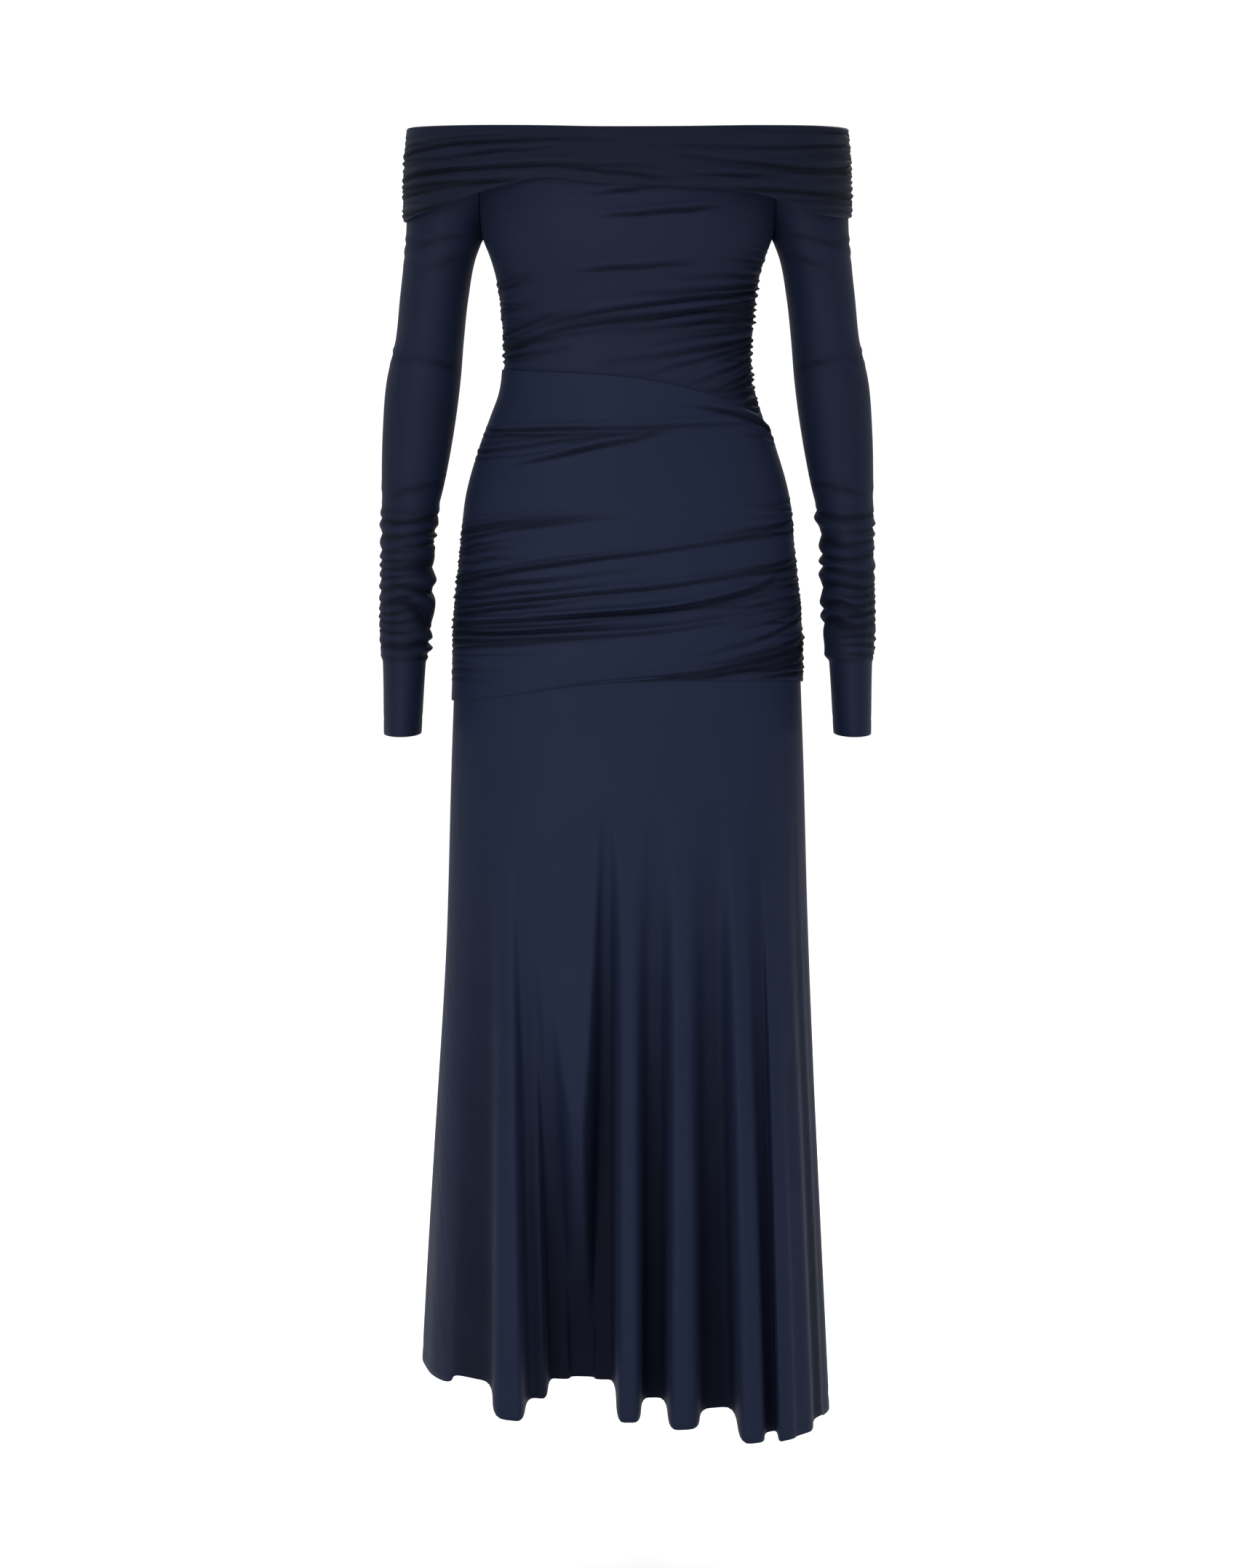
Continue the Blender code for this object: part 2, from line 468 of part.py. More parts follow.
def sleeve(right):
    """A sleeve: a tube, open towards the bodice above the armpit."""
    height, out, tilt = (row[:, None] for row in sleeve_heights())
    seam = smooth(ARMHOLE, height)
    across = np.linspace(0, 1, SLEEVE_COLUMNS + 1)
    opening = np.where(height > ARMPIT, seam.sleeve, 0.0)
    turn = np.radians((180 - opening) * (1 - 2 * across))
    arm = smooth(ARM, height)
    tube = np.stack(
        [
            arm.centre_x + (arm.half_width + out) * np.cos(turn),
            arm.centre_y - (arm.half_depth + out) * np.sin(turn),
            height + tilt * np.cos(turn),
        ],
        axis=-1,
    )
    rows = len(ARMHOLE_ROWS)
    near_neck = np.clip(1 + height[:rows] / 0.075, 0, 1)[..., None]
    near_neck = near_neck**2 * (3 - 2 * near_neck)
    body_angle = seam.front[:rows] + (-seam.back[:rows] - seam.front[:rows]) * across
    dipped = height[:rows] + neck_dip(body_angle if right else 180 - body_angle)
    shoulder = ring(BODY, body_angle, dipped)
    tube[:rows, :, 2] = dipped
    upper = tube[:rows] + (shoulder - tube[:rows]) * near_neck
    for edge, toward in ((0, across), (-1, 1 - across)):
        meet = ring(BODY, body_angle[:, edge], dipped[:, edge], SEAM_GAP * 1.5)
        fade = np.clip(1 - toward / 0.3, 0, 1) ** 2
        upper += (meet - upper[:, edge])[:, None] * fade[:, None]
    closed = rows - 1
    upper[:closed] = open_seams(upper[:closed])
    tube[:rows] = upper
    if not right:
        tube = tube[:, ::-1] * np.array([-1.0, 1.0, 1.0])
    return tube, closed


def add_wall(collection, name, points, closed_from=None):
    """A cloth piece: a grid of points made a wall. From the row closed_from on, its two ends meet."""
    rows, columns = points.shape[:2]
    index = np.arange(rows * columns).reshape(rows, columns)
    if closed_from is not None:
        index[closed_from:, -1] = index[closed_from:, 0]
    faces = []
    for row in range(rows - 1):
        for column in range(columns - 1):
            faces.append(
                (
                    index[row, column],
                    index[row + 1, column],
                    index[row + 1, column + 1],
                    index[row, column + 1],
                )
            )
    used = np.unique(index)
    new_index = np.full(rows * columns, -1)
    new_index[used] = np.arange(len(used))
    mesh = bpy.data.meshes.new(name)
    mesh.from_pydata(points.reshape(-1, 3)[used].tolist(), [], new_index[np.array(faces)].tolist())
    mesh.shade_smooth()
    mesh.materials.append(jersey(name))
    obj = bpy.data.objects.new(name, mesh)
    collection.objects.link(obj)
    wall = obj.modifiers.new("cloth", "SOLIDIFY")
    wall.thickness = WALL
    wall.offset = -1
    return obj


def jersey(name):
    """Matt navy jersey."""
    material = bpy.data.materials.new(name + "_jersey")
    material.use_nodes = True
    shader = material.node_tree.nodes["Principled BSDF"]
    shader.inputs["Base Color"].default_value = NAVY
    shader.inputs["Roughness"].default_value = JERSEY_ROUGHNESS
    shader.inputs["Metallic"].default_value = 0.0
    return material


def build():
    for obj in list(bpy.data.objects):
        bpy.data.objects.remove(obj)
    collection = bpy.data.collections.new(COLLECTION)
    bpy.context.scene.collection.children.link(collection)
    for half in ("front", "back"):
        front = half == "front"
        add_wall(collection, "band_" + half, band(front))
        add_wall(collection, "bodice_" + half, bodice(front))
        add_wall(collection, "hip_wrap_" + half, hip_wrap(front))
        add_wall(collection, "skirt_" + half, skirt(front))
    for side in ("left", "right"):
        points, closed = sleeve(side == "right")
        add_wall(collection, "sleeve_" + side, points, closed)


build()
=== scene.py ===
"""Off-shoulder ruched dress: its navy jersey with every fold and gather, the light and the camera.

Metres, +Z up, front towards -Y. Angles round the body are in degrees: 0 at the right side (+X),
90 at the front, 180 at the left side and 270 at the back. A piece is a grid of points, with rows
going down and columns going round, that becomes a thin sheet of cloth.
"""

import math
from collections import namedtuple

import bpy
import numpy as np
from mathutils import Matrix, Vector


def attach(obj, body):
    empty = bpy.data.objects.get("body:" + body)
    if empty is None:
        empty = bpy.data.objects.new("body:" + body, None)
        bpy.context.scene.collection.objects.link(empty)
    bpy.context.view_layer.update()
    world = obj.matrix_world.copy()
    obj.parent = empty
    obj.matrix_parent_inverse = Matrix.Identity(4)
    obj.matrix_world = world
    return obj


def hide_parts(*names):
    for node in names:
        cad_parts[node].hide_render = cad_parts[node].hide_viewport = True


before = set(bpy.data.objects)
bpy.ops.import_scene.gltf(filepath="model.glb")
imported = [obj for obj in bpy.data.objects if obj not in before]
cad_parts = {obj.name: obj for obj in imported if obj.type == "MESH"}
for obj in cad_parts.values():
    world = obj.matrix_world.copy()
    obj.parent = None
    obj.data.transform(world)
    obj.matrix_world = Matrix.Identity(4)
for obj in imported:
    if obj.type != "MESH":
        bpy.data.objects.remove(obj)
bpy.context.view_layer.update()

CLOTH = 0.0008  # thickness of the jersey
ROUNDNESS = 0.9  # power on the cosines of a body section; 1 is an ellipse

ARMPIT = -0.104  # height where sleeve and bodice part
SKIRT_TOP = -0.505  # upper edge of the skirt, under the hip wrap
TUCK = 0.012  # how far the bodice runs down behind the hip wrap
NECK_STEP = 0.004  # bodice and sleeves end this far under the band's upper edge
NECK_DIP_FADE = 0.045  # height over which the neckline's dip fades out
SHOULDER_BLEND = 0.075  # height over which a sleeve leaves the body's section for the arm's
ARMHOLE_BLEND = 0.3  # share of a sleeve's width that is eased onto the armhole seam
WRAP_OVER = 0.0022  # how far the hip wrap's outside lies off the bodice's outside

Section = namedtuple("Section", "height half_width front back")
BODY = (
    Section(0.000, 0.2050, 0.1100, 0.0900),
    Section(-0.030, 0.1720, 0.1175, 0.0895),
    Section(-0.060, 0.1480, 0.1235, 0.0885),
    Section(-0.085, 0.1400, 0.1265, 0.0875),
    Section(-0.104, 0.1362, 0.1250, 0.0865),
    Section(-0.120, 0.1300, 0.1200, 0.0850),
    Section(-0.145, 0.1230, 0.1090, 0.0820),
    Section(-0.177, 0.1190, 0.0950, 0.0795),
    Section(-0.215, 0.1165, 0.0850, 0.0785),
    Section(-0.248, 0.1200, 0.0850, 0.0850),
    Section(-0.270, 0.1280, 0.0870, 0.0910),
    Section(-0.300, 0.1390, 0.0905, 0.0990),
    Section(-0.341, 0.1510, 0.0945, 0.1110),
    Section(-0.399, 0.1575, 0.0975, 0.1240),
    Section(-0.463, 0.1640, 0.0990, 0.1270),
    Section(-0.525, 0.1660, 0.1005, 0.1220),
    Section(-0.595, 0.1688, 0.1040, 0.1170),
    Section(-0.765, 0.1745, 0.1130, 0.1200),
    Section(-0.964, 0.1850, 0.1220, 0.1300),
    Section(-1.240, 0.2000, 0.1300, 0.1400),
)

# Body angle of the armhole seam in front and behind, and how far the sleeve is open from its inner side.
Armhole = namedtuple("Armhole", "height front back sleeve")
ARMHOLE = (
    Armhole(0.000, 50.0, 50.0, 75.0),
    Armhole(-0.030, 38.0, 40.0, 66.0),
    Armhole(-0.060, 23.0, 27.0, 50.0),
    Armhole(-0.085, 11.0, 14.0, 28.0),
    Armhole(-0.098, 4.0, 6.0, 11.0),
    Armhole(ARMPIT, 0.0, 0.0, 0.0),
)
ARMHOLE_ROWS = (12, 30)  # down to the band's lower edge, and on to the armpit
ARMHOLE_PLAIN = -0.048  # height where the fine rows begin

Arm = namedtuple("Arm", "height centre_x centre_y half_width half_depth")
ARM = (
    Arm(0.000, 0.1680, 0.000, 0.0360, 0.0500),
    Arm(-0.055, 0.1712, 0.000, 0.0365, 0.0490),
    Arm(-0.104, 0.1732, 0.002, 0.0362, 0.0480),
    Arm(-0.120, 0.1770, 0.003, 0.0340, 0.0475),
    Arm(-0.158, 0.1830, 0.005, 0.0325, 0.0460),
    Arm(-0.199, 0.1878, 0.008, 0.0325, 0.0445),
    Arm(-0.236, 0.1938, 0.010, 0.0352, 0.0440),
    Arm(-0.284, 0.1990, 0.006, 0.0340, 0.0430),
    Arm(-0.334, 0.2040, -0.002, 0.0298, 0.0400),
    Arm(-0.380, 0.2090, -0.008, 0.0238, 0.0370),
    Arm(-0.431, 0.2102, -0.013, 0.0234, 0.0355),
    Arm(-0.470, 0.2118, -0.016, 0.0226, 0.0355),
    Arm(-0.500, 0.2125, -0.018, 0.0206, 0.0370),
    Arm(-0.5725, 0.2145, -0.022, 0.0178, 0.0395),
)
BUNCH_TOP = -0.350
BUNCH_BOTTOM = -0.503
BUNCH_DROOP = 0.20  # how far a ring hangs down, as a share of how far it stands out
DENSE_HEIGHT = -0.452  # where the forearm is bunched all round
DENSE_REACH = 0.034
CUFF_BOTTOM = -0.5700
SLEEVE_ROWS = (62, 126, 18)  # down to the bunched forearm, over it, and along the cuff
SLEEVE_COLUMNS = 80

# Rings of bunched cloth on a forearm: how many, how far they stand out, on the outer and the inner side.
Bunch = namedtuple("Bunch", "rings depth")
OUTER_BUNCH = Bunch(14, 0.0030)
INNER_BUNCH = Bunch(8, 0.0050)
BUNCH_SHARPNESS = 0.5  # power on a ring's wave; less gives rounder rings with sharper valleys
FRONT_FLATNESS = 0.5  # how much flatter the rings are in front and behind, where they aren't dense
PAINTED_RING_DARKNESS = 2.2  # painted shade: how dark the cloth is painted between two rings

# Upper and lower edge of the off-shoulder band, round the body.
Edge = namedtuple("Edge", "angle top bottom")
BAND_EDGE = (
    Edge(0, -0.001, -0.084),
    Edge(39, -0.002, -0.081),
    Edge(56, -0.003, -0.067),
    Edge(84, -0.005, -0.060),
    Edge(97, -0.005, -0.057),
    Edge(108, -0.004, -0.052),
    Edge(122, -0.003, -0.060),
    Edge(143, -0.002, -0.076),
    Edge(180, -0.001, -0.088),
    Edge(225, -0.002, -0.072),
    Edge(270, -0.003, -0.064),
    Edge(315, -0.002, -0.070),
    Edge(360, -0.001, -0.084),
)
BAND = (
    Section(0.000, 0.2074, 0.1124, 0.0924),
    Section(-0.020, 0.2092, 0.1180, 0.0948),
    Section(-0.045, 0.2106, 0.1236, 0.0965),
    Section(-0.070, 0.2112, 0.1280, 0.0970),
    Section(-0.090, 0.2116, 0.1290, 0.0970),
)
BAND_ROLL = 0.0021  # radius of the soft roll where the band is folded over
BAND_TURN = 0.014  # how far it runs down inside the neckline
BAND_ROWS = 72
BAND_COLUMNS = (230, 150)  # front, back

# Upper and lower edge of the hip wrap, round the body.
WRAP_EDGE = (
    Edge(0, -0.285, -0.523),
    Edge(20, -0.269, -0.518),
    Edge(50, -0.250, -0.514),
    Edge(90, -0.232, -0.514),
    Edge(135, -0.227, -0.530),
    Edge(180, -0.226, -0.540),
    Edge(225, -0.232, -0.530),
    Edge(270, -0.250, -0.515),
    Edge(315, -0.272, -0.512),
    Edge(360, -0.285, -0.523),
)
WRAP_ROLL = 0.0007
WRAP_TURN = 0.003
WRAP_ROWS = (60, 150)  # above and below its plain middle
WRAP_MIDDLE = 0.40  # share of its depth
WRAP_COLUMNS = (196, 128)
BODICE_ROWS = (22, 108)  # below the armpit: plain, then gathered
BODICE_PLAIN = 0.24  # share of the depth below the armpit
HIDDEN_FADE = 0.004  # behind the hip wrap's edge the bodice's creases fade out over this height
BODICE_COLUMNS = (176, 112)
ROLL_STEPS = 6
TURN_STEPS = 2

# A crease runs from one place to another on a panel, at its widest bowed up by bow. One that starts
# at a side seam is a gather, deepest at the stitches. On a sleeve x is the angle round the arm instead.
Crease = namedtuple("Crease", "x height to_x to_height bow depth width")
LEFT_SEAM = -math.inf
RIGHT_SEAM = math.inf
BAND_CREASES = (
    Crease(LEFT_SEAM, -0.033, 0.010, -0.0165, 0.006, 0.0024, 0.0034),
    Crease(RIGHT_SEAM, -0.013, 0.000, -0.020, -0.006, 0.0017, 0.0034),
    Crease(LEFT_SEAM, -0.054, 0.030, -0.040, 0.005, 0.0030, 0.0034),
    Crease(RIGHT_SEAM, -0.033, 0.025, -0.026, -0.012, 0.0027, 0.0032),
    Crease(-0.180, -0.034, -0.060, -0.023, 0.001, 0.0014, 0.0030),
    Crease(LEFT_SEAM, -0.070, -0.080, -0.051, 0.001, 0.0020, 0.0032),
    Crease(LEFT_SEAM, -0.086, -0.105, -0.062, -0.003, 0.0018, 0.0030),
    Crease(LEFT_SEAM, -0.064, -0.150, -0.053, 0.000, 0.0014, 0.0026),
    Crease(LEFT_SEAM, -0.037, -0.180, -0.036, 0.000, 0.0015, 0.0030),
    Crease(LEFT_SEAM, -0.048, -0.150, -0.043, 0.001, 0.0014, 0.0028),
    Crease(RIGHT_SEAM, -0.060, 0.150, -0.063, 0.000, 0.0015, 0.0028),
    Crease(RIGHT_SEAM, -0.068, -0.012, -0.058, 0.000, 0.0022, 0.0034),
    Crease(RIGHT_SEAM, -0.080, 0.150, -0.078, 0.000, 0.0014, 0.0028),
    Crease(RIGHT_SEAM, -0.048, 0.160, -0.052, 0.000, 0.0014, 0.0030),
    Crease(RIGHT_SEAM, -0.024, 0.150, -0.028, 0.000, 0.0014, 0.0030),
    Crease(0.050, -0.047, 0.150, -0.047, -0.002, 0.0014, 0.0032),
    Crease(-0.060, -0.042, 0.040, -0.052, 0.001, 0.0012, 0.0036),
)
BODICE_CREASES = (
    Crease(-0.030, -0.087, 0.090, -0.076, 0.000, 0.0026, 0.0030),
    Crease(-0.036, -0.067, 0.030, -0.058, 0.000, 0.0018, 0.0030),
    Crease(-0.055, -0.137, 0.066, -0.127, 0.000, 0.0020, 0.0031),
    Crease(RIGHT_SEAM, -0.128, 0.070, -0.122, 0.000, 0.0012, 0.0040),
    Crease(RIGHT_SEAM, -0.138, 0.026, -0.142, 0.001, 0.0017, 0.0036),
    Crease(RIGHT_SEAM, -0.146, -0.016, -0.158, 0.001, 0.0021, 0.0036),
    Crease(RIGHT_SEAM, -0.1525, -0.110, -0.200, 0.011, 0.0024, 0.0029),
    Crease(RIGHT_SEAM, -0.160, -0.080, -0.186, 0.001, 0.0024, 0.0038),
    Crease(RIGHT_SEAM, -0.167, -0.110, -0.207, 0.010, 0.0024, 0.0029),
    Crease(RIGHT_SEAM, -0.173, 0.090, -0.171, 0.000, 0.0014, 0.0026),
    Crease(RIGHT_SEAM, -0.178, -0.036, -0.195, 0.005, 0.0022, 0.0029),
    Crease(RIGHT_SEAM, -0.185, 0.085, -0.183, 0.000, 0.0014, 0.0026),
    Crease(RIGHT_SEAM, -0.193, -0.040, -0.223, 0.003, 0.0023, 0.0038),
    Crease(RIGHT_SEAM, -0.201, 0.006, -0.2325, 0.006, 0.0024, 0.0029),
    Crease(RIGHT_SEAM, -0.207, 0.070, -0.213, 0.000, 0.0017, 0.0032),
    Crease(RIGHT_SEAM, -0.212, 0.052, -0.240, 0.003, 0.0028, 0.0031),
    Crease(RIGHT_SEAM, -0.225, 0.072, -0.247, 0.002, 0.0028, 0.0029),
    Crease(RIGHT_SEAM, -0.238, 0.070, -0.246, 0.000, 0.0020, 0.0034),
    Crease(RIGHT_SEAM, -0.247, 0.085, -0.252, 0.000, 0.0018, 0.0034),
    Crease(RIGHT_SEAM, -0.258, 0.095, -0.262, 0.000, 0.0018, 0.0034),
    Crease(LEFT_SEAM, -0.160, -0.070, -0.136, 0.001, 0.0013, 0.0044),
    Crease(LEFT_SEAM, -0.184, -0.080, -0.160, 0.001, 0.0012, 0.0040),
    Crease(LEFT_SEAM, -0.202, -0.032, -0.168, 0.001, 0.0019, 0.0036),
    Crease(LEFT_SEAM, -0.210, -0.026, -0.189, -0.001, 0.0019, 0.0036),
    Crease(LEFT_SEAM, -0.216, -0.042, -0.205, 0.000, 0.0016, 0.0032),
    Crease(LEFT_SEAM, -0.222, -0.074, -0.213, 0.000, 0.0014, 0.0030),
)
WRAP_CREASES = (
    Crease(RIGHT_SEAM, -0.2925, 0.037, -0.2576, 0.008, 0.0019, 0.0030),
    Crease(RIGHT_SEAM, -0.289, 0.070, -0.262, 0.003, 0.0018, 0.0036),
    Crease(LEFT_SEAM, -0.284, 0.125, -0.273, 0.000, 0.0022, 0.0029),
    Crease(LEFT_SEAM, -0.306, 0.048, -0.276, -0.003, 0.0020, 0.0029),
    Crease(-0.112, -0.315, 0.040, -0.279, -0.003, 0.0028, 0.0030),
    Crease(LEFT_SEAM, -0.386, 0.002, -0.359, 0.006, 0.0018, 0.0036),
    Crease(LEFT_SEAM, -0.394, 0.018, -0.359, 0.003, 0.0018, 0.0032),
    Crease(LEFT_SEAM, -0.403, -0.085, -0.380, 0.003, 0.0015, 0.0028),
    Crease(LEFT_SEAM, -0.406, -0.095, -0.387, 0.001, 0.0015, 0.0028),
    Crease(LEFT_SEAM, -0.414, -0.088, -0.397, 0.001, 0.0017, 0.0030),
    Crease(LEFT_SEAM, -0.4325, 0.152, -0.366, 0.001, 0.0025, 0.0030),
    Crease(LEFT_SEAM, -0.430, -0.082, -0.418, 0.001, 0.0016, 0.0030),
    Crease(LEFT_SEAM, -0.438, 0.030, -0.407, -0.002, 0.0025, 0.0029),
    Crease(LEFT_SEAM, -0.446, -0.130, -0.432, 0.000, 0.0014, 0.0026),
    Crease(LEFT_SEAM, -0.454, 0.152, -0.402, -0.003, 0.0025, 0.0029),
    Crease(LEFT_SEAM, -0.462, -0.056, -0.441, 0.001, 0.0018, 0.0032),
    Crease(-0.100, -0.454, 0.145, -0.415, -0.010, 0.0036, 0.0036),
    Crease(LEFT_SEAM, -0.466, 0.150, -0.429, -0.005, 0.0026, 0.0029),
    Crease(LEFT_SEAM, -0.4715, 0.121, -0.447, -0.008, 0.0026, 0.0029),
    Crease(LEFT_SEAM, -0.480, 0.128, -0.452, -0.008, 0.0022, 0.0027),
    Crease(LEFT_SEAM, -0.491, 0.002, -0.472, 0.000, 0.0021, 0.0030),
    Crease(LEFT_SEAM, -0.508, -0.100, -0.504, 0.000, 0.0010, 0.0040),
    Crease(RIGHT_SEAM, -0.366, 0.060, -0.380, 0.001, 0.0017, 0.0040),
    Crease(RIGHT_SEAM, -0.402, 0.050, -0.416, 0.001, 0.0018, 0.0038),
    Crease(RIGHT_SEAM, -0.420, 0.090, -0.424, 0.000, 0.0016, 0.0034),
    Crease(RIGHT_SEAM, -0.436, 0.060, -0.448, 0.000, 0.0017, 0.0034),
    Crease(RIGHT_SEAM, -0.452, 0.056, -0.491, 0.000, 0.0024, 0.0031),
    Crease(RIGHT_SEAM, -0.481, -0.117, -0.529, 0.001, 0.0028, 0.0033),
    Crease(RIGHT_SEAM, -0.474, 0.052, -0.500, 0.001, 0.0020, 0.0034),
    Crease(RIGHT_SEAM, -0.493, 0.037, -0.512, 0.000, 0.0022, 0.0029),
    Crease(RIGHT_SEAM, -0.503, 0.100, -0.505, 0.000, 0.0016, 0.0030),
    Crease(RIGHT_SEAM, -0.511, 0.104, -0.511, 0.000, 0.0014, 0.0028),
)
SLEEVE_CREASES = (
    Crease(150.0, -0.100, 20.0, -0.118, 0.004, 0.0012, 0.0044),
    Crease(160.0, -0.118, 60.0, -0.136, 0.003, 0.0010, 0.0044),
    Crease(-150.0, -0.104, -30.0, -0.124, 0.004, 0.0012, 0.0046),
    Crease(-20.0, -0.112, 70.0, -0.104, 0.002, 0.0012, 0.0036),
    Crease(-50.0, -0.124, 30.0, -0.120, 0.000, 0.0010, 0.0036),
    Crease(-60.0, -0.204, 70.0, -0.216, -0.003, 0.0016, 0.0038),
    Crease(-120.0, -0.222, -10.0, -0.210, 0.003, 0.0014, 0.0042),
    Crease(170.0, -0.232, 60.0, -0.214, 0.004, 0.0012, 0.0046),
    Crease(200.0, -0.330, 40.0, -0.344, 0.003, 0.0014, 0.0044),
    Crease(-150.0, -0.340, 30.0, -0.346, 0.004, 0.0014, 0.0044),
)
CREASE_WANDER = 0.0006  # how far a crease strays from its line
CREASE_OPENS = 0.6  # how much wider a crease is at its far end
TROUGH_DEPTH = 1.05  # of a crease, as a share of its depth
TROUGH_WIDTH = 0.46  # as a share of its width, like the places below
UPPER_RIDGE = (0.80, 1.15, 0.85)  # the ridge above a trough: height, place and width
LOWER_RIDGE = (0.40, -1.20, 0.85)
PAINTED_SHADE_WIDTH = 0.62  # of the painted shade line along a trough
PAINTED_SHADE_DROP = 0.15  # how far below the trough's middle it lies
FULL_PAINTED_SHADE_DEPTH = 0.0014  # a crease as deep as this gets the full painted shade
STITCHED_SHARE = 0.25  # how strong a gather still is in the stitches
STITCHED_REACH = 0.15  # share of its length over which it comes up to full strength
SHORTEST_GATHER = 8.0  # degrees round the body
FINE_REACH = (0.12, 0.45)  # of a fine gather, from and to, as a share of the half width
FINE_RISE = (-0.005, 0.008)
FINE_DEPTH = (0.0005, 0.0011)
FINE_WIDTH = (0.0018, 0.0027)
COMPANION_OFF = (1.4, 2.4)  # from its crease, in widths of that
COMPANION_SPREAD = 1.3  # how many times as far off its far end is
COMPANION_LENGTH = (0.4, 0.8)  # this and the next two as shares of its crease's
COMPANION_DEPTH = (0.4, 0.7)
COMPANION_WIDTH = (0.6, 0.9)
NEAR_SEAM = 0.12  # x from which the reach of a gather is counted
BACK_REACH = 0.035  # how far the ends of the back's creases lie from the front's, across and in height
BACK_RISE = 0.006
BACK_BOW = (0.3, 1.3)
BACK_DEPTH = (0.8, 1.1)

# Ridges and valleys of the hem: x where the fold begins, its place at the hem, the height it begins at,
# and how much painted shade it gets between folds, from 0 to 1.
HemFold = namedtuple("HemFold", "begin_x hem_x hem_y hem_height begins deep")
HEM_LEFT = HemFold(-0.200, -0.203, 0.030, -1.196, -0.76, 0.2)
HEM_RIGHT = HemFold(0.200, 0.197, 0.010, -1.232, -0.76, 0.3)
HEM_FRONT = (
    HEM_LEFT,
    HemFold(-0.166, -0.186, -0.045, -1.196, -0.74, 0.0),
    HemFold(-0.134, -0.145, -0.088, -1.185, -0.62, 0.8),
    HemFold(-0.114, -0.109, -0.150, -1.207, -0.66, 0.0),
    HemFold(-0.092, -0.084, -0.102, -1.200, -0.76, 0.6),
    HemFold(-0.076, -0.068, -0.067, -1.191, -0.82, 1.0),
    HemFold(-0.046, -0.042, -0.063, -1.190, -0.92, 1.0),
    HemFold(-0.019, -0.021, -0.070, -1.191, -0.62, 1.0),
    HemFold(-0.001, 0.001, -0.150, -1.209, -0.66, 0.0),
    HemFold(0.025, 0.0235, -0.096, -1.201, -0.62, 1.0),
    HemFold(0.050, 0.0515, -0.150, -1.216, -0.62, 0.0),
    HemFold(0.078, 0.0845, -0.102, -1.209, -0.60, 1.0),
    HemFold(0.103, 0.122, -0.152, -1.228, -0.60, 0.0),
    HemFold(0.121, 0.1370, -0.122, -1.226, -0.58, 0.9),
    HemFold(0.132, 0.147, -0.143, -1.229, -0.60, 0.0),
    HemFold(0.148, 0.170, -0.118, -1.229, -0.60, 0.0),
    HemFold(0.158, 0.184, -0.078, -1.225, -0.58, 0.7),
    HemFold(0.167, 0.192, -0.052, -1.230, -0.64, 0.1),
    HEM_RIGHT,
)
HEM_BACK = (
    HEM_RIGHT,
    HemFold(0.158, 0.184, 0.072, -1.228, -0.64, 0.0),
    HemFold(0.134, 0.152, 0.128, -1.232, -0.66, 0.0),
    HemFold(0.104, 0.118, 0.096, -1.222, -0.60, 0.9),
    HemFold(0.074, 0.080, 0.168, -1.226, -0.68, 0.0),
    HemFold(0.040, 0.046, 0.112, -1.216, -0.62, 1.0),
    HemFold(0.012, 0.014, 0.174, -1.220, -0.70, 0.0),
    HemFold(-0.014, -0.012, 0.120, -1.212, -0.60, 0.9),
    HemFold(-0.034, -0.036, 0.160, -1.216, -0.66, 0.0),
    HemFold(-0.066, -0.074, 0.098, -1.208, -0.62, 1.0),
    HemFold(-0.100, -0.112, 0.156, -1.212, -0.72, 0.0),
    HemFold(-0.134, -0.152, 0.096, -1.203, -0.64, 0.8),
    HemFold(-0.158, -0.184, 0.082, -1.205, -0.72, 0.0),
    HEM_LEFT,
)
FOLD_STEEPNESS = 0.84  # 0 gives wavy hem folds, 1 gives parallel sides
FOLD_FLAT = 0.10  # share of a hem fold that stays level at its ridge and at its valley
FOLD_GENTLENESS = 1.5  # power on how far a hem fold is drawn out; more makes it begin more gently
PAINTED_FOLD_SHADE_POWER = 0.8  # the same for the painted shade between folds
SKIRT_ROWS = 104
STEPS_PER_HEM_FOLD = 12

SEAM_DENT = 0.0007  # how deep the stitches of a side seam pull in
SEAM_DENT_WIDTH = 0.0022
SLEEVE_SEAM_WIDTH = 3.0  # degrees round the arm
SEW_COLUMNS = 8  # columns over which two pieces are eased together at a seam
SEW_FADE = 1.5
HEM_STITCHES = 0.014  # height of the hem's stitching above its edge
HEM_DENT = 0.0004
HEM_DENT_WIDTH = 0.0012

FLAT_MAP = "cloth"  # UV map in metres along the cloth
PAINTED_SHADE_ATTRIBUTE = "painted_shade"  # name of the mesh's map of painted shade between folds, creases and rings, 0 to 1
NAVY = (0.0058, 0.0086, 0.0222)
PAINTED_SHADE_DYE_SHARE = 0.30  # share of the dye's colour left in the darkest painted shade between folds
WALE = 0.0009  # width of a rib of the knit
COURSE = 0.0007  # height of a row of loops
KNIT_DEPTH = 0.00012
PAINTED_SHADE_STRENGTH = 0.85  # how far the colour goes towards the painted shade dye between folds
CLOUD_SHADE = 0.25  # and with the cloth's clouds and fuzz
FUZZ_SHADE = 0.20
ROUGHNESS = 0.62
ROUGHNESS_SPREAD = 0.12
CLOUD_SCALE = (16.0, 16.0, 1.0)  # slow changes of tone over the cloth, for each metre
FUZZ_SCALE = (1500.0, 1500.0, 1.0)
ACROSS_DRAG = (14.0, 120.0, 1.0)  # drag lines that run across the body
DOWN_DRAG = (60.0, 4.0, 1.0)  # and down it
SLEEVE_DRAG = (30.0, 30.0, 1.0)

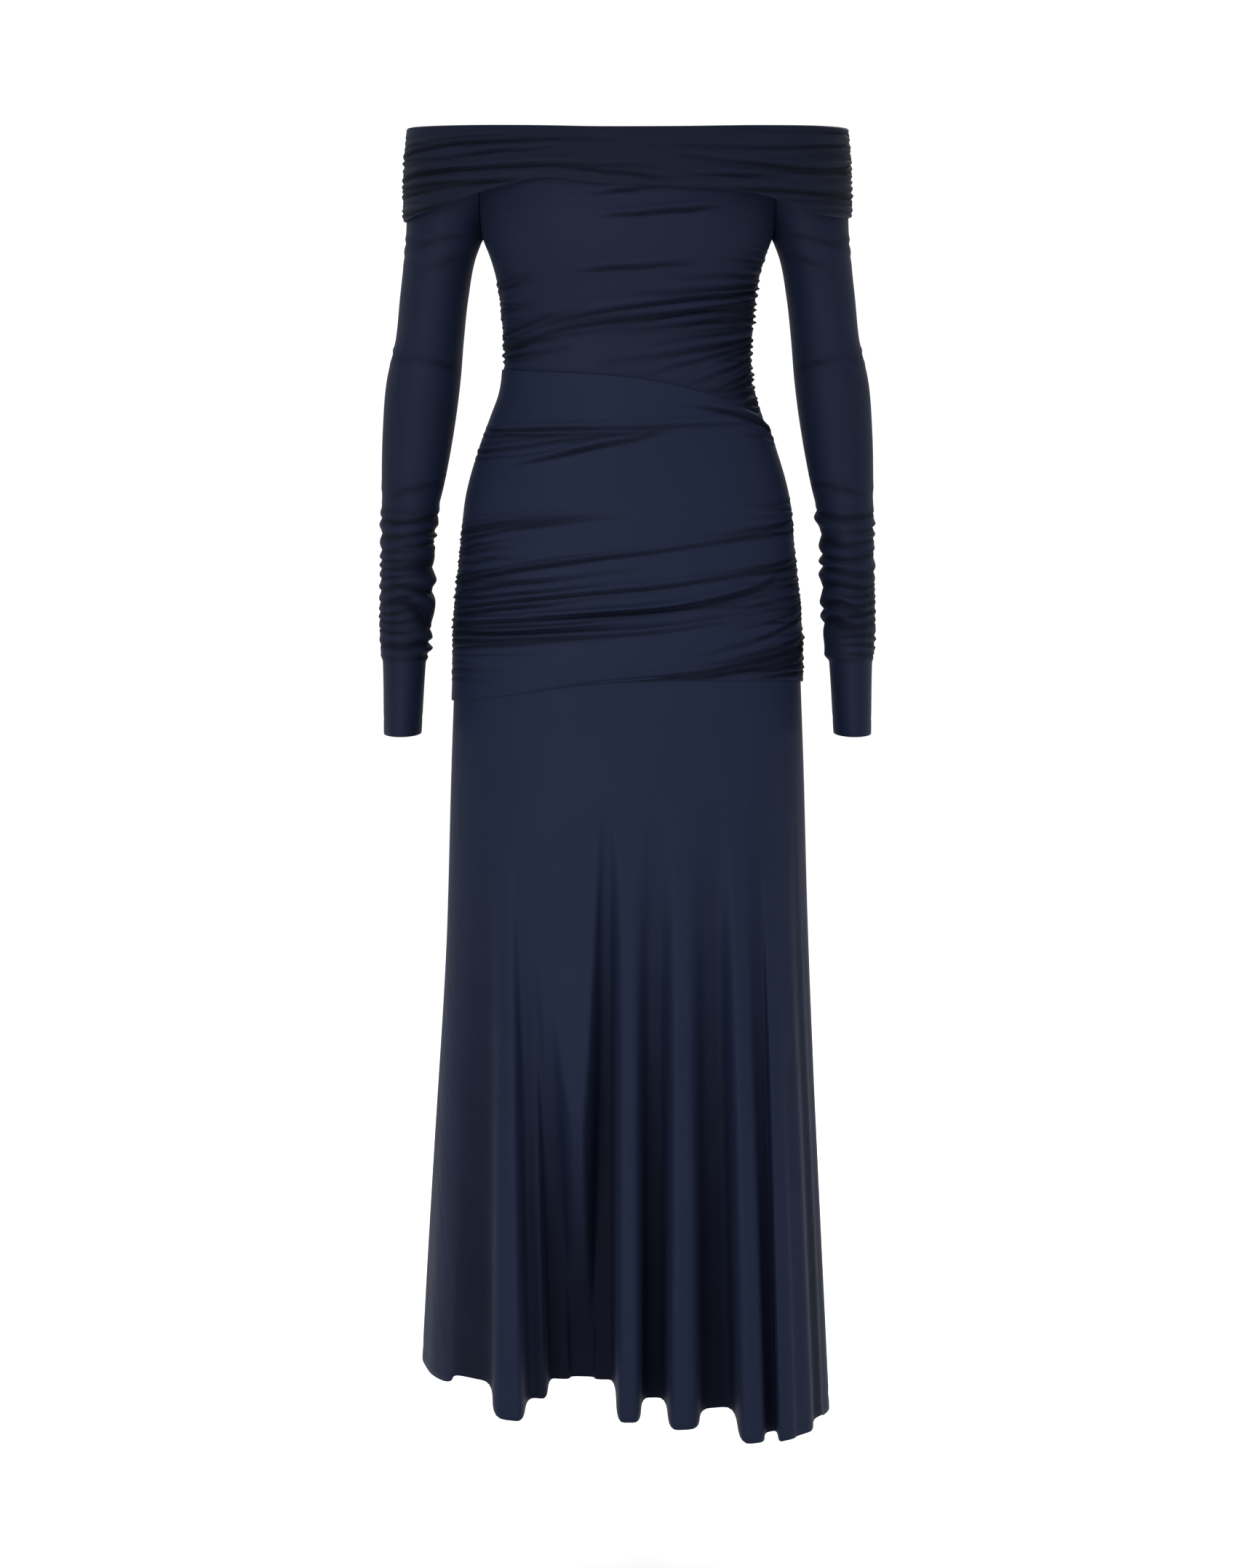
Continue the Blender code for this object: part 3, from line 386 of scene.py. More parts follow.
TARGET = Vector((0.0, 0.0, -0.622))
CAMERA_DISTANCE = 3.4
CAMERA_ELEVATION = math.radians(7)
FRAME_HEIGHT = 1.5092  # of the photograph, at the target
SENSOR = 36.0
FLOOR_HEIGHT = -1.39  # worn, the dress hangs clear of the floor
FLOOR_RADIUS = 9
FLOOR_CORNERS = 96
SURROUNDINGS = 1.06  # strength of the light from all round


def smooth(table, key):
    """Every column of a table at each key, smooth through its rows. The first column is the key."""
    rows = np.array(sorted(table), float)
    slopes = np.gradient(rows, rows[:, 0], axis=0)
    key = np.clip(key, rows[0, 0], rows[-1, 0])
    low = np.clip(np.searchsorted(rows[:, 0], key) - 1, 0, len(rows) - 2)
    span = (rows[low + 1, 0] - rows[low, 0])[..., None]
    t = (key[..., None] - rows[low, 0][..., None]) / span
    value = (2 * t**3 - 3 * t**2 + 1) * rows[low]
    value += (t**3 - 2 * t**2 + t) * span * slopes[low]
    value += (3 * t**2 - 2 * t**3) * rows[low + 1]
    value += (t**3 - t**2) * span * slopes[low + 1]
    return type(table[0])(*np.moveaxis(value, -1, 0))


def signed_power(value, power):
    return np.sign(value) * np.abs(value) ** power


def ring(table, angle, height, out=0.0):
    """Points on the sections of a table, moved out of the surface by out."""
    angle, height = np.broadcast_arrays(np.asarray(angle, float), np.asarray(height, float))
    section = smooth(table, height)
    across = np.cos(np.radians(angle))
    ahead = np.sin(np.radians(angle))
    depth = np.where(ahead > 0, section.front, section.back)
    x = section.half_width * signed_power(across, ROUNDNESS)
    y = -depth * signed_power(ahead, ROUNDNESS)
    normal_x = signed_power(across, 2 - ROUNDNESS) / section.half_width
    normal_y = -signed_power(ahead, 2 - ROUNDNESS) / depth
    size = np.hypot(normal_x, normal_y)
    return np.stack([x + out * normal_x / size, y + out * normal_y / size, height], axis=-1)


def half_round(front, columns):
    """Shares of a panel's width, and the body angles there."""
    first, last = (180.0, 0.0) if front else (360.0, 180.0)
    across = np.linspace(0, 1, columns + 1)
    return across, first + (last - first) * across


def bell(value):
    return np.exp(-(value**2))


def ease(value):
    """0 to 1, softly."""
    value = np.clip(value, 0, 1)
    return value * value * (3 - 2 * value)


def rows_between(first, last, count):
    """Evenly spaced rows after the first."""
    return np.linspace(first, last, count + 1)[1:]


def round_side(x, half_width):
    """Where x lies round a half of the body, in degrees: -90 at the left side, 90 at the right side."""
    return np.degrees(np.arcsin(np.clip(signed_power(x / half_width, 1 / ROUNDNESS), -1, 1)))


def fine_gathers(rng, seam, first, last, spacing, half_width):
    """Short gathers between the named ones, along a side seam."""
    found = []
    height = first
    while height > last:
        reach = half_width(height) * rng.uniform(*FINE_REACH)
        to_x = math.copysign(half_width(height) - reach, seam)
        to_height = height + rng.uniform(*FINE_RISE)
        depth = rng.uniform(*FINE_DEPTH)
        width = rng.uniform(*FINE_WIDTH)
        found.append(Crease(seam, height, to_x, to_height, 0.0, depth, width))
        height -= spacing * rng.uniform(0.5, 1.6)
    return tuple(found)


def companions(rng, creases):
    """These creases, and beside each one that starts at a seam a shorter, fainter one, a little above or below it."""
    found = list(creases)
    for crease in creases:
        if not math.isinf(crease.x):
            continue
        shift = rng.choice((-1, 1)) * rng.uniform(*COMPANION_OFF) * crease.width
        share = rng.uniform(*COMPANION_LENGTH)
        reach = crease.to_x - math.copysign(NEAR_SEAM, crease.x)
        found.append(
            Crease(
                crease.x,
                crease.height + shift,
                crease.to_x - reach * (1 - share),
                crease.height + (crease.to_height - crease.height) * share + shift * COMPANION_SPREAD,
                crease.bow * share,
                crease.depth * rng.uniform(*COMPANION_DEPTH),
                crease.width * rng.uniform(*COMPANION_WIDTH),
            )
        )
    return tuple(found)


def varied(rng, creases):
    """Creases like these, for the side that doesn't show: from the same places at the seams, but of other lengths."""
    found = []
    for crease in creases:
        found.append(
            crease._replace(
                to_x=crease.to_x + rng.uniform(-BACK_REACH, BACK_REACH),
                to_height=crease.to_height + rng.uniform(-BACK_RISE, BACK_RISE),
                bow=crease.bow * rng.uniform(*BACK_BOW),
                depth=crease.depth * rng.uniform(*BACK_DEPTH),
            )
        )
    return tuple(found)


def relief(creases, place, height, side):
    """How far creases push the cloth out, and how much painted shade each point gets from them.

    place is where the points lie across the piece, in the units that side gives for a crease's x.
    """
    place, height = np.broadcast_arrays(place, height)
    out = np.zeros(place.shape)
    painted_shade = np.zeros(place.shape)
    for number, crease in enumerate(creases):
        start = side(crease.x, crease.height)
        end = side(crease.to_x, crease.to_height)
        if math.isinf(crease.x):
            end = min(max(end, SHORTEST_GATHER - 90), 90 - SHORTEST_GATHER)
        inside = np.clip((place - start) / (end - start), 0, 1)
        line = crease.height + (crease.to_height - crease.height) * inside
        line = line + 4 * crease.bow * inside * (1 - inside)
        line = line + CREASE_WANDER * np.sin(17 * inside + number) * inside
        if math.isinf(crease.x):
            strength = (1 - inside**2) * (STITCHED_SHARE + (1 - STITCHED_SHARE) * ease(inside / STITCHED_REACH))
        else:
            strength = np.sin(math.pi * inside)
        strength = strength * (0.88 + 0.12 * np.sin(11 * inside + 2.3 * number))
        off = (height - line) / (crease.width * (0.8 + CREASE_OPENS * inside))
        wave = -TROUGH_DEPTH * bell(off / TROUGH_WIDTH)
        for stands, place_off, width in (UPPER_RIDGE, LOWER_RIDGE):
            wave += stands * bell((off - place_off) / width)
        out += crease.depth * strength * wave
        # painted shade: a dark line painted just below each crease's trough
        painted_shade += strength * crease.depth / FULL_PAINTED_SHADE_DEPTH * bell((off + PAINTED_SHADE_DROP) / PAINTED_SHADE_WIDTH)
    return out, np.clip(painted_shade, 0, 1)


def body_half_width(height):
    return float(smooth(BODY, np.array(height)).half_width)


def band_half_width(height):
    return float(smooth(BAND, np.array(height)).half_width)


def body_side(x, height):
    return float(round_side(x, body_half_width(height)))


def band_side(x, height):
    return float(round_side(x, band_half_width(height)))


def arm_side(x, height):
    return x


def turned_rows(share, roll, turn):
    """Rows of a panel with turned edges, from those between: share of its depth, drop under the edge and way in."""
    bend = np.linspace(0, math.pi, ROLL_STEPS + 1)
    back = np.linspace(turn, 0, TURN_STEPS + 1)[:-1]
    drop = np.concatenate([roll + back, roll - roll * np.sin(bend)])
    inward = np.concatenate([np.full(len(back), 2 * roll), roll + roll * np.cos(bend)])
    none = np.zeros(len(drop))
    return (
        np.concatenate([none, share, none + 1])[:, None],
        np.concatenate([drop, roll * (1 - 2 * share), -drop[::-1]])[:, None],
        np.concatenate([inward, share * 0, inward[::-1]])[:, None],
    )


def panel(front, columns, shares, table, edges, roll, turn, over, creases, side):
    """Half of a piece that goes round the body, between two turned edges."""
    angle = half_round(front, columns)[1]
    edge = smooth(edges, angle)
    share, drop, inward = turned_rows(shares, roll, turn)
    height = edge.top + (edge.bottom - edge.top) * share - drop
    out, painted_shade = relief(creases, 90 - angle if front else angle - 270, height, side)
    shown = 1 - inward / (2 * roll)
    return ring(table, angle, height, over - inward + out * shown), painted_shade * shown


def band_half(front, creases):
    columns = BAND_COLUMNS[0 if front else 1]
    shares = rows_between(0, 1, BAND_ROWS)[:-1]
    return panel(front, columns, shares, BAND, BAND_EDGE, BAND_ROLL, BAND_TURN, 0.0, creases, band_side)


def wrap_half(front, creases):
    columns = WRAP_COLUMNS[0 if front else 1]
    shares = rows_between(0, WRAP_MIDDLE, WRAP_ROWS[0])
    shares = np.concatenate([shares, rows_between(WRAP_MIDDLE, 1, WRAP_ROWS[1])[:-1]])
    return panel(front, columns, shares, BODY, WRAP_EDGE, WRAP_ROLL, WRAP_TURN, WRAP_OVER, creases, body_side)


def neck_dip(angle, height):
    """How far the neckline drops, at these body angles, fading out below it."""
    top = smooth(BAND_EDGE, angle % 360).top - NECK_STEP
    return np.clip(1 + height / NECK_DIP_FADE, 0, 1) * top


def armhole_heights():
    upper = np.linspace(0, ARMHOLE_PLAIN, ARMHOLE_ROWS[0] + 1)
    return np.concatenate([upper, rows_between(ARMHOLE_PLAIN, ARMPIT, ARMHOLE_ROWS[1])])


def bodice_half(front, creases):
    """Half of the bodice, from the neckline to behind the hip wrap's upper edge."""
    across, side_angle = half_round(front, BODICE_COLUMNS[0 if front else 1])
    heights = armhole_heights()[:, None]
    seam = smooth(ARMHOLE, heights)
    seam_angle = seam.front if front else seam.back
    turn = side_angle[-1] - side_angle[0]
    angle = side_angle[0] - seam_angle + (turn + 2 * seam_angle) * across
    upper = heights + neck_dip(angle, heights)
    edge = smooth(WRAP_EDGE, side_angle)
    share = rows_between(0, BODICE_PLAIN, BODICE_ROWS[0])
    share = np.concatenate([share, rows_between(BODICE_PLAIN, 1, BODICE_ROWS[1])])[:, None]
    lower = ARMPIT + (edge.top - TUCK - ARMPIT) * share
    height = np.concatenate([upper, lower])
    angle = np.concatenate([angle, np.broadcast_to(side_angle, lower.shape)])
    out, painted_shade = relief(creases, 90 - angle if front else angle - 270, height, body_side)
    shown = np.clip((height - edge.top) / HIDDEN_FADE + 1, 0, 1)
    return ring(BODY, angle, height, out * shown), painted_shade * shown


def angle_at(x, height, front):
    """Body angle where the figure's outline is at x, on the front or the back half."""
    half_width = smooth(BODY, height).half_width
    share = np.clip(signed_power(x / half_width, 1 / ROUNDNESS), -1, 1)
    angle = np.degrees(np.arccos(share))
    return angle if front else 360 - angle


def skirt(front, table):
    """Half of the skirt: the figure's own line above, drawn out to the hem's ridges and valleys below."""
    folds = np.array(table)
    begin_x, hem_x, hem_y, hem_height, begins, painted_shade_level = folds.T
    begin_angle = angle_at(begin_x, begins, front)
    hem_angle = angle_at(hem_x, hem_height, front)
    for angles in (begin_angle, hem_angle):
        angles[0], angles[-1] = (180.0, 0.0) if front else (360.0, 180.0)
    away = np.stack([hem_x, hem_y], axis=-1) - ring(BODY, hem_angle, hem_height)[:, :2]
    steps = np.arange(STEPS_PER_HEM_FOLD * (len(folds) - 1) + 1) / STEPS_PER_HEM_FOLD
    low = np.minimum(steps.astype(int), len(folds) - 2)
    step = steps - low
    wave = ease((step - FOLD_FLAT) / (1 - 2 * FOLD_FLAT))

    def between(values, share):
        return values[low] + (values[low + 1] - values[low]) * share

    hem = between(hem_height, wave)
    begin = between(begins, wave)
    share = np.linspace(0, 1, SKIRT_ROWS + 1)[:, None]
    height = SKIRT_TOP + (hem - SKIRT_TOP) * share
    fall = np.clip((begin - height) / (begin - hem), 0, 1)
    fullness = np.sin(fall * math.pi / 2) ** FOLD_GENTLENESS
    place = step + fullness * FOLD_STEEPNESS * np.sin(2 * math.pi * step) / (2 * math.pi)
    angle = between(begin_angle, place) * (1 - fall) + between(hem_angle, place) * fall
    dent = HEM_DENT * bell((height - hem - HEM_STITCHES) / HEM_DENT_WIDTH)
    points = ring(BODY, angle, height, -dent)
    for axis in (0, 1):
        points[..., axis] += fullness * between(away[:, axis], wave)
    # painted shade between the hem's folds, growing as they are drawn out
    return points, fullness**PAINTED_FOLD_SHADE_POWER * between(painted_shade_level, wave)


def bunched(turn, height, lean):
    """Rings of bunched cloth round a forearm: how far they stand out, and the painted shade between them.

    lean makes one sleeve's rings unlike the other's. The sines make them uneven in spacing, slope and size.
    """
    run = (BUNCH_TOP - height) / (BUNCH_TOP - BUNCH_BOTTOM)
    within = ease(run / 0.10) * ease((1 - run) / 0.06)
    dense = bell((height - DENSE_HEIGHT) / DENSE_REACH)
    outer = np.clip(0.5 + 0.8 * np.cos(turn), 0, 1)
    stands = np.zeros(outer.shape)
    painted_shade_between_rings = np.zeros(outer.shape)
    for bunch, share, seed in ((OUTER_BUNCH, outer, lean), (INNER_BUNCH, 1 - outer, lean + 1.7)):
        uneven = 0.30 * np.sin(8 * run + seed) + 0.20 * np.sin(19 * run + 2 * seed)
        slope = 0.8 * np.sin(turn + 4.5 * run + seed) + 0.9 * dense * np.sin(2 * turn - 9 * run + seed)
        phase = math.pi * (bunch.rings * run + uneven) + slope
        lump = np.abs(np.cos(phase)) ** BUNCH_SHARPNESS
        size = 0.74 + 0.22 * np.sin(1.9 * phase + seed)
        size += 0.18 * np.sin(2.7 * phase + 1.3 * seed) * np.sin(turn + seed)
        stands = stands + share**0.6 * bunch.depth * size * lump
        # painted shade between the rings
        painted_shade_between_rings = painted_shade_between_rings + PAINTED_RING_DARKNESS * share**0.6 * (1 - lump) ** 0.8
    within = within * (1 - FRONT_FLATNESS * np.sin(turn) ** 2 * (1 - dense))
    return within * stands, within * painted_shade_between_rings


def sleeve(right, creases):
    """A sleeve: a tube, open towards the bodice above the armpit."""
    plain_part = rows_between(ARMPIT, BUNCH_TOP, SLEEVE_ROWS[0])
    forearm = rows_between(BUNCH_TOP, BUNCH_BOTTOM, SLEEVE_ROWS[1])
    cuff = rows_between(BUNCH_BOTTOM, CUFF_BOTTOM, SLEEVE_ROWS[2])
    height = np.concatenate([armhole_heights(), plain_part, forearm, cuff])[:, None]
    seam = smooth(ARMHOLE, height)
    across = np.linspace(0, 1, SLEEVE_COLUMNS + 1)
    opening = np.where(height > ARMPIT, seam.sleeve, 0.0)
    turn = (180 - opening) * (1 - 2 * across)
    out, painted_shade = relief(creases, turn, height, arm_side)
    rings, painted_shade_between_rings = bunched(np.radians(turn), height, 1.1 if right else 2.6)
    out = out + rings
    out -= SEAM_DENT * bell((180 - np.abs(turn)) / SLEEVE_SEAM_WIDTH) * (height < ARMPIT)
    out -= HEM_DENT * bell((height - CUFF_BOTTOM - HEM_STITCHES) / HEM_DENT_WIDTH)
    # painted shade of the creases and of the rings together
    painted_shade = np.clip(painted_shade + painted_shade_between_rings, 0, 1)
    turn = np.radians(turn)
    arm = smooth(ARM, height)
    tube = np.stack(
        [
            arm.centre_x + (arm.half_width + out) * np.cos(turn),
            arm.centre_y - (arm.half_depth + out) * np.sin(turn),
            height - BUNCH_DROOP * rings,
        ],
        axis=-1,
    )
    rows = sum(ARMHOLE_ROWS) + 1
    top = height[:rows]
    near_neck = ease(1 + top / SHOULDER_BLEND)[..., None]
    body_angle = seam.front[:rows] + (-seam.back[:rows] - seam.front[:rows]) * across
    dipped = top + neck_dip(body_angle if right else 180 - body_angle, top)
    shoulder = ring(BODY, body_angle, dipped)
    tube[:rows, :, 2] = dipped
    upper = tube[:rows] + (shoulder - tube[:rows]) * near_neck
    for edge, toward in ((0, across), (-1, 1 - across)):
        meet = ring(BODY, body_angle[:, edge], dipped[:, edge])
        fade = np.clip(1 - toward / ARMHOLE_BLEND, 0, 1) ** 2
        upper += (meet - upper[:, edge])[:, None] * fade[:, None]
    tube[:rows] = upper
    if not right:
        tube = tube[:, ::-1] * np.array([-1.0, 1.0, 1.0])
        painted_shade = painted_shade[:, ::-1]
    return tube, painted_shade


def sew(front, back, first_row=0):
    """Eases the edges of a front and a back piece together along both side seams, with a dent of stitches."""
    fade = np.clip(1 - np.arange(SEW_COLUMNS) / SEW_COLUMNS, 0, 1) ** SEW_FADE
    for front_edge, back_edge in ((0, -1), (-1, 0)):
        middle = (front[first_row:, front_edge] + back[first_row:, back_edge]) / 2
        for points, edge in ((front, front_edge), (back, back_edge)):
            columns = range(SEW_COLUMNS) if edge == 0 else range(-1, -SEW_COLUMNS - 1, -1)
            pull = middle - points[first_row:, edge]
            away = np.linalg.norm(points[first_row:, list(columns)] - points[first_row:, edge][:, None], axis=-1)
            for number, column in enumerate(columns):
                points[first_row:, column] += pull * fade[number]
                inward = np.sign(points[first_row:, column, :1]) * np.array([-1.0, 0.0, 0.0])
                points[first_row:, column] += SEAM_DENT * bell(away[:, number, None] / SEAM_DENT_WIDTH) * inward


def flat_lengths(points):
    """Distance along the cloth from its middle column and its first row."""
    along = np.linalg.norm(np.diff(points, axis=1), axis=-1)
    along = np.concatenate([np.zeros((len(points), 1)), np.cumsum(along, axis=1)], axis=1)
    down = np.linalg.norm(np.diff(points, axis=0), axis=-1)
    down = np.concatenate([np.zeros((1, points.shape[1])), np.cumsum(down, axis=0)], axis=0)
    return along - along[:, points.shape[1] // 2][:, None], down


def add_cloth(name, points, painted_shade, finish, closed_from=None):
    """A piece of cloth on a grid of points. From the row closed_from on, its two ends meet."""
    rows, columns = points.shape[:2]
    index = np.arange(rows * columns).reshape(rows, columns)
    if closed_from is not None:
        index[closed_from:, -1] = index[closed_from:, 0]
    corners = np.stack([index[:-1, :-1], index[1:, :-1], index[1:, 1:], index[:-1, 1:]], axis=-1).reshape(-1, 4)
    used = np.unique(index)
    new_index = np.full(rows * columns, -1)
    new_index[used] = np.arange(len(used))
    mesh = bpy.data.meshes.new(name)
    mesh.from_pydata(points.reshape(-1, 3)[used].tolist(), [], new_index[corners].tolist())
    mesh.shade_smooth()
    mesh.materials.append(finish)
    grid = np.arange(rows * columns).reshape(rows, columns)
    grid = np.stack([grid[:-1, :-1], grid[1:, :-1], grid[1:, 1:], grid[:-1, 1:]], axis=-1).reshape(-1)
    flat = np.stack([length.reshape(-1)[grid] for length in flat_lengths(points)], axis=-1)
    mesh.uv_layers.new(name=FLAT_MAP).data.foreach_set("uv", flat.reshape(-1).astype(np.float32))
    # painted shade between folds, stored on the mesh for its material
    painted_shade_level = mesh.attributes.new(PAINTED_SHADE_ATTRIBUTE, "FLOAT", "POINT")
    painted_shade_level.data.foreach_set("value", painted_shade.reshape(-1)[used].astype(np.float32))
    piece = bpy.data.objects.new(name, mesh)
    bpy.context.scene.collection.objects.link(piece)
    thickness = piece.modifiers.new("cloth", "SOLIDIFY")
    thickness.thickness = CLOTH
    thickness.offset = -1
    return piece


class Value:
    """A node's output in a material. Arithmetic on it adds Math nodes."""

    def __init__(self, finish, socket):
        self.finish = finish
        self.socket = socket

    def part(self, name):
        return Value(self.finish, self.socket.node.outputs[name])

    def __add__(self, other):
        return self.finish.math("ADD", self, other)

    def __sub__(self, other):
        return self.finish.math("SUBTRACT", self, other)

    def __rsub__(self, other):
        return self.finish.math("SUBTRACT", other, self)

    def __mul__(self, other):
        return self.finish.math("MULTIPLY", self, other)

    __radd__ = __add__
    __rmul__ = __mul__


class Finish:
    """A material that is being made."""

    def __init__(self, name):
        self.material = bpy.data.materials.new(name)
        self.material.use_nodes = True
        self.tree = self.material.node_tree
        self.shader = self.tree.nodes["Principled BSDF"]

    def fill(self, node, sockets):
        for name, value in sockets.items():
            if isinstance(value, Value):
                self.tree.links.new(value.socket, node.inputs[name])
            else:
                node.inputs[name].default_value = value

    def add(self, kind, settings, sockets, output=0):
        node = self.tree.nodes.new(kind)
        for name, value in settings.items():
            setattr(node, name, value)
        self.fill(node, sockets)
        return Value(self, node.outputs[output])

    def math(self, operation, *terms):
        return self.add("ShaderNodeMath", {"operation": operation}, dict(enumerate(terms)))

    def mix(self, share, first, second):
        return self.add("ShaderNodeMix", {"data_type": "RGBA"}, {0: share, 6: first, 7: second}, 2)

    def noise(self, vector, scale, detail):
        stretched = self.add("ShaderNodeVectorMath", {"operation": "MULTIPLY"}, {0: vector, 1: scale})
        return self.add("ShaderNodeTexNoise", {}, {"Vector": stretched, "Scale": 1.0, "Detail": detail})


def jersey(name, painted_shade_factor, drag, drag_depth):
    """Matt navy jersey, darkened for each piece by a factor of painted shade, with painted shade between folds. drag
    is how fine its slight drag lines are along and down the cloth, for each metre.
    """
    finish = Finish(name)
    # Both colours carry painted shade: the piece's factor darkens the whole copy, and the darker one is painted shade
    # between folds.
    dye_with_painted_shade = tuple(part * painted_shade_factor for part in NAVY) + (1.0,)
    painted_shade_dye = tuple(part * painted_shade_factor * PAINTED_SHADE_DYE_SHARE for part in NAVY) + (1.0,)
    flat = finish.add("ShaderNodeUVMap", {"uv_map": FLAT_MAP}, {})
    along = finish.add("ShaderNodeSeparateXYZ", {}, {"Vector": flat}, "X")
    down = along.part("Y")
    ribs = finish.math("ABSOLUTE", finish.math("SINE", along * (math.pi / WALE)))
    loops = finish.math("SINE", down * (2 * math.pi / COURSE)) * 0.25 + 0.75
    drag_lines = 1 - finish.math("ABSOLUTE", finish.noise(flat, drag, 2.0) * 2 - 1)
    clouds = finish.noise(flat, CLOUD_SCALE, 2.0)
    fuzz = finish.noise(flat, FUZZ_SCALE, 2.0)
    # The mesh's map of painted shade pulls the colour towards the darker dye, with random clouds and fuzz of tone on
    # top.
    painted_shade_level = finish.add("ShaderNodeAttribute", {"attribute_name": PAINTED_SHADE_ATTRIBUTE}, {}, "Fac")
    shade = painted_shade_level * PAINTED_SHADE_STRENGTH + (clouds - 0.5) * CLOUD_SHADE + (fuzz - 0.5) * FUZZ_SHADE
    knit = finish.add(
        "ShaderNodeBump",
        {},
        {"Strength": 0.25, "Distance": KNIT_DEPTH, "Height": ribs * loops + fuzz * 0.6},
    )
    creased = finish.add(
        "ShaderNodeBump",
        {},
        {"Strength": 0.5, "Distance": drag_depth, "Height": drag_lines, "Normal": knit},
    )
    finish.fill(
        finish.shader,
        {
            "Base Color": finish.mix(finish.math("MAXIMUM", shade, 0.0), dye_with_painted_shade, painted_shade_dye),
            "Roughness": ROUGHNESS + (clouds - 0.5) * ROUGHNESS_SPREAD + painted_shade_level * ROUGHNESS_SPREAD,
            "Normal": creased,
            "Specular IOR Level": 0.05,
            "Sheen Weight": 0.02,
            "Sheen Roughness": 0.45,
            "Sheen Tint": (0.25, 0.32, 0.60, 1.0),
        },
    )
    return finish.material


def plain(name, colour, roughness):
    finish = Finish(name)
    clouds = finish.add("ShaderNodeTexNoise", {}, {"Scale": 3.0})
    finish.fill(finish.shader, {"Base Color": colour, "Roughness": roughness + (clouds - 0.5) * 0.05})
    return finish.material


def seat(piece, node):
    """Hangs a piece on the root and hides the model's part that it stands for."""
    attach(piece, "root")
    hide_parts(node)


def both_halves(rng, make, creases):
    """Front and back of a piece: the front with these creases, the back with others like them."""
    front = make(True, creases)
    back = make(False, varied(rng, creases))
    return front, back


def make_dress():
    rng = np.random.default_rng(7)
    # Lit and shaded copies of one navy jersey: each piece's factor is painted shade, darkest on the band.
    band_jersey = jersey("band_jersey", painted_shade_factor=0.56, drag=ACROSS_DRAG, drag_depth=0.0009)
    bodice_jersey = jersey("bodice_jersey", painted_shade_factor=0.76, drag=ACROSS_DRAG, drag_depth=0.0010)
    wrap_jersey = jersey("wrap_jersey", painted_shade_factor=0.88, drag=ACROSS_DRAG, drag_depth=0.0010)
    skirt_jersey = jersey("skirt_jersey", painted_shade_factor=0.92, drag=DOWN_DRAG, drag_depth=0.0007)
    sleeve_jersey = jersey("sleeve_jersey", painted_shade_factor=0.74, drag=SLEEVE_DRAG, drag_depth=0.0008)

    creases = companions(rng, BAND_CREASES)
    creases += fine_gathers(rng, LEFT_SEAM, -0.012, -0.080, 0.009, band_half_width)
    creases += fine_gathers(rng, RIGHT_SEAM, -0.010, -0.078, 0.009, band_half_width)
    bands = both_halves(rng, band_half, creases)
    sew(bands[0][0], bands[1][0])

    creases = companions(rng, companions(rng, BODICE_CREASES))
    creases += fine_gathers(rng, LEFT_SEAM, -0.150, -0.222, 0.009, body_half_width)
    creases += fine_gathers(rng, RIGHT_SEAM, -0.126, -0.268, 0.007, body_half_width)
    bodices = both_halves(rng, bodice_half, creases)
    sew(bodices[0][0], bodices[1][0], sum(ARMHOLE_ROWS))

    creases = companions(rng, companions(rng, WRAP_CREASES))
    creases += fine_gathers(rng, LEFT_SEAM, -0.384, -0.520, 0.008, body_half_width)
    creases += fine_gathers(rng, RIGHT_SEAM, -0.350, -0.515, 0.008, body_half_width)
    wraps = both_halves(rng, wrap_half, creases)
    sew(wraps[0][0], wraps[1][0])

    skirts = (skirt(True, HEM_FRONT), skirt(False, HEM_BACK))

    for number, half in enumerate(("front", "back")):
        piece = add_cloth(f"band_{half}_cloth", *bands[number], band_jersey)
        seat(piece, f"band_{half}")
        piece = add_cloth(f"bodice_{half}_cloth", *bodices[number], bodice_jersey)
        seat(piece, f"bodice_{half}")
        piece = add_cloth(f"hip_wrap_{half}_cloth", *wraps[number], wrap_jersey)
        seat(piece, f"hip_wrap_{half}")
        piece = add_cloth(f"skirt_{half}_cloth", *skirts[number], skirt_jersey)
        seat(piece, f"skirt_{half}")
    for side in ("left", "right"):
        points, painted_shade = sleeve(side == "right", SLEEVE_CREASES)
        piece = add_cloth(f"sleeve_{side}_cloth", points, painted_shade, sleeve_jersey, sum(ARMHOLE_ROWS))
        seat(piece, f"sleeve_{side}")


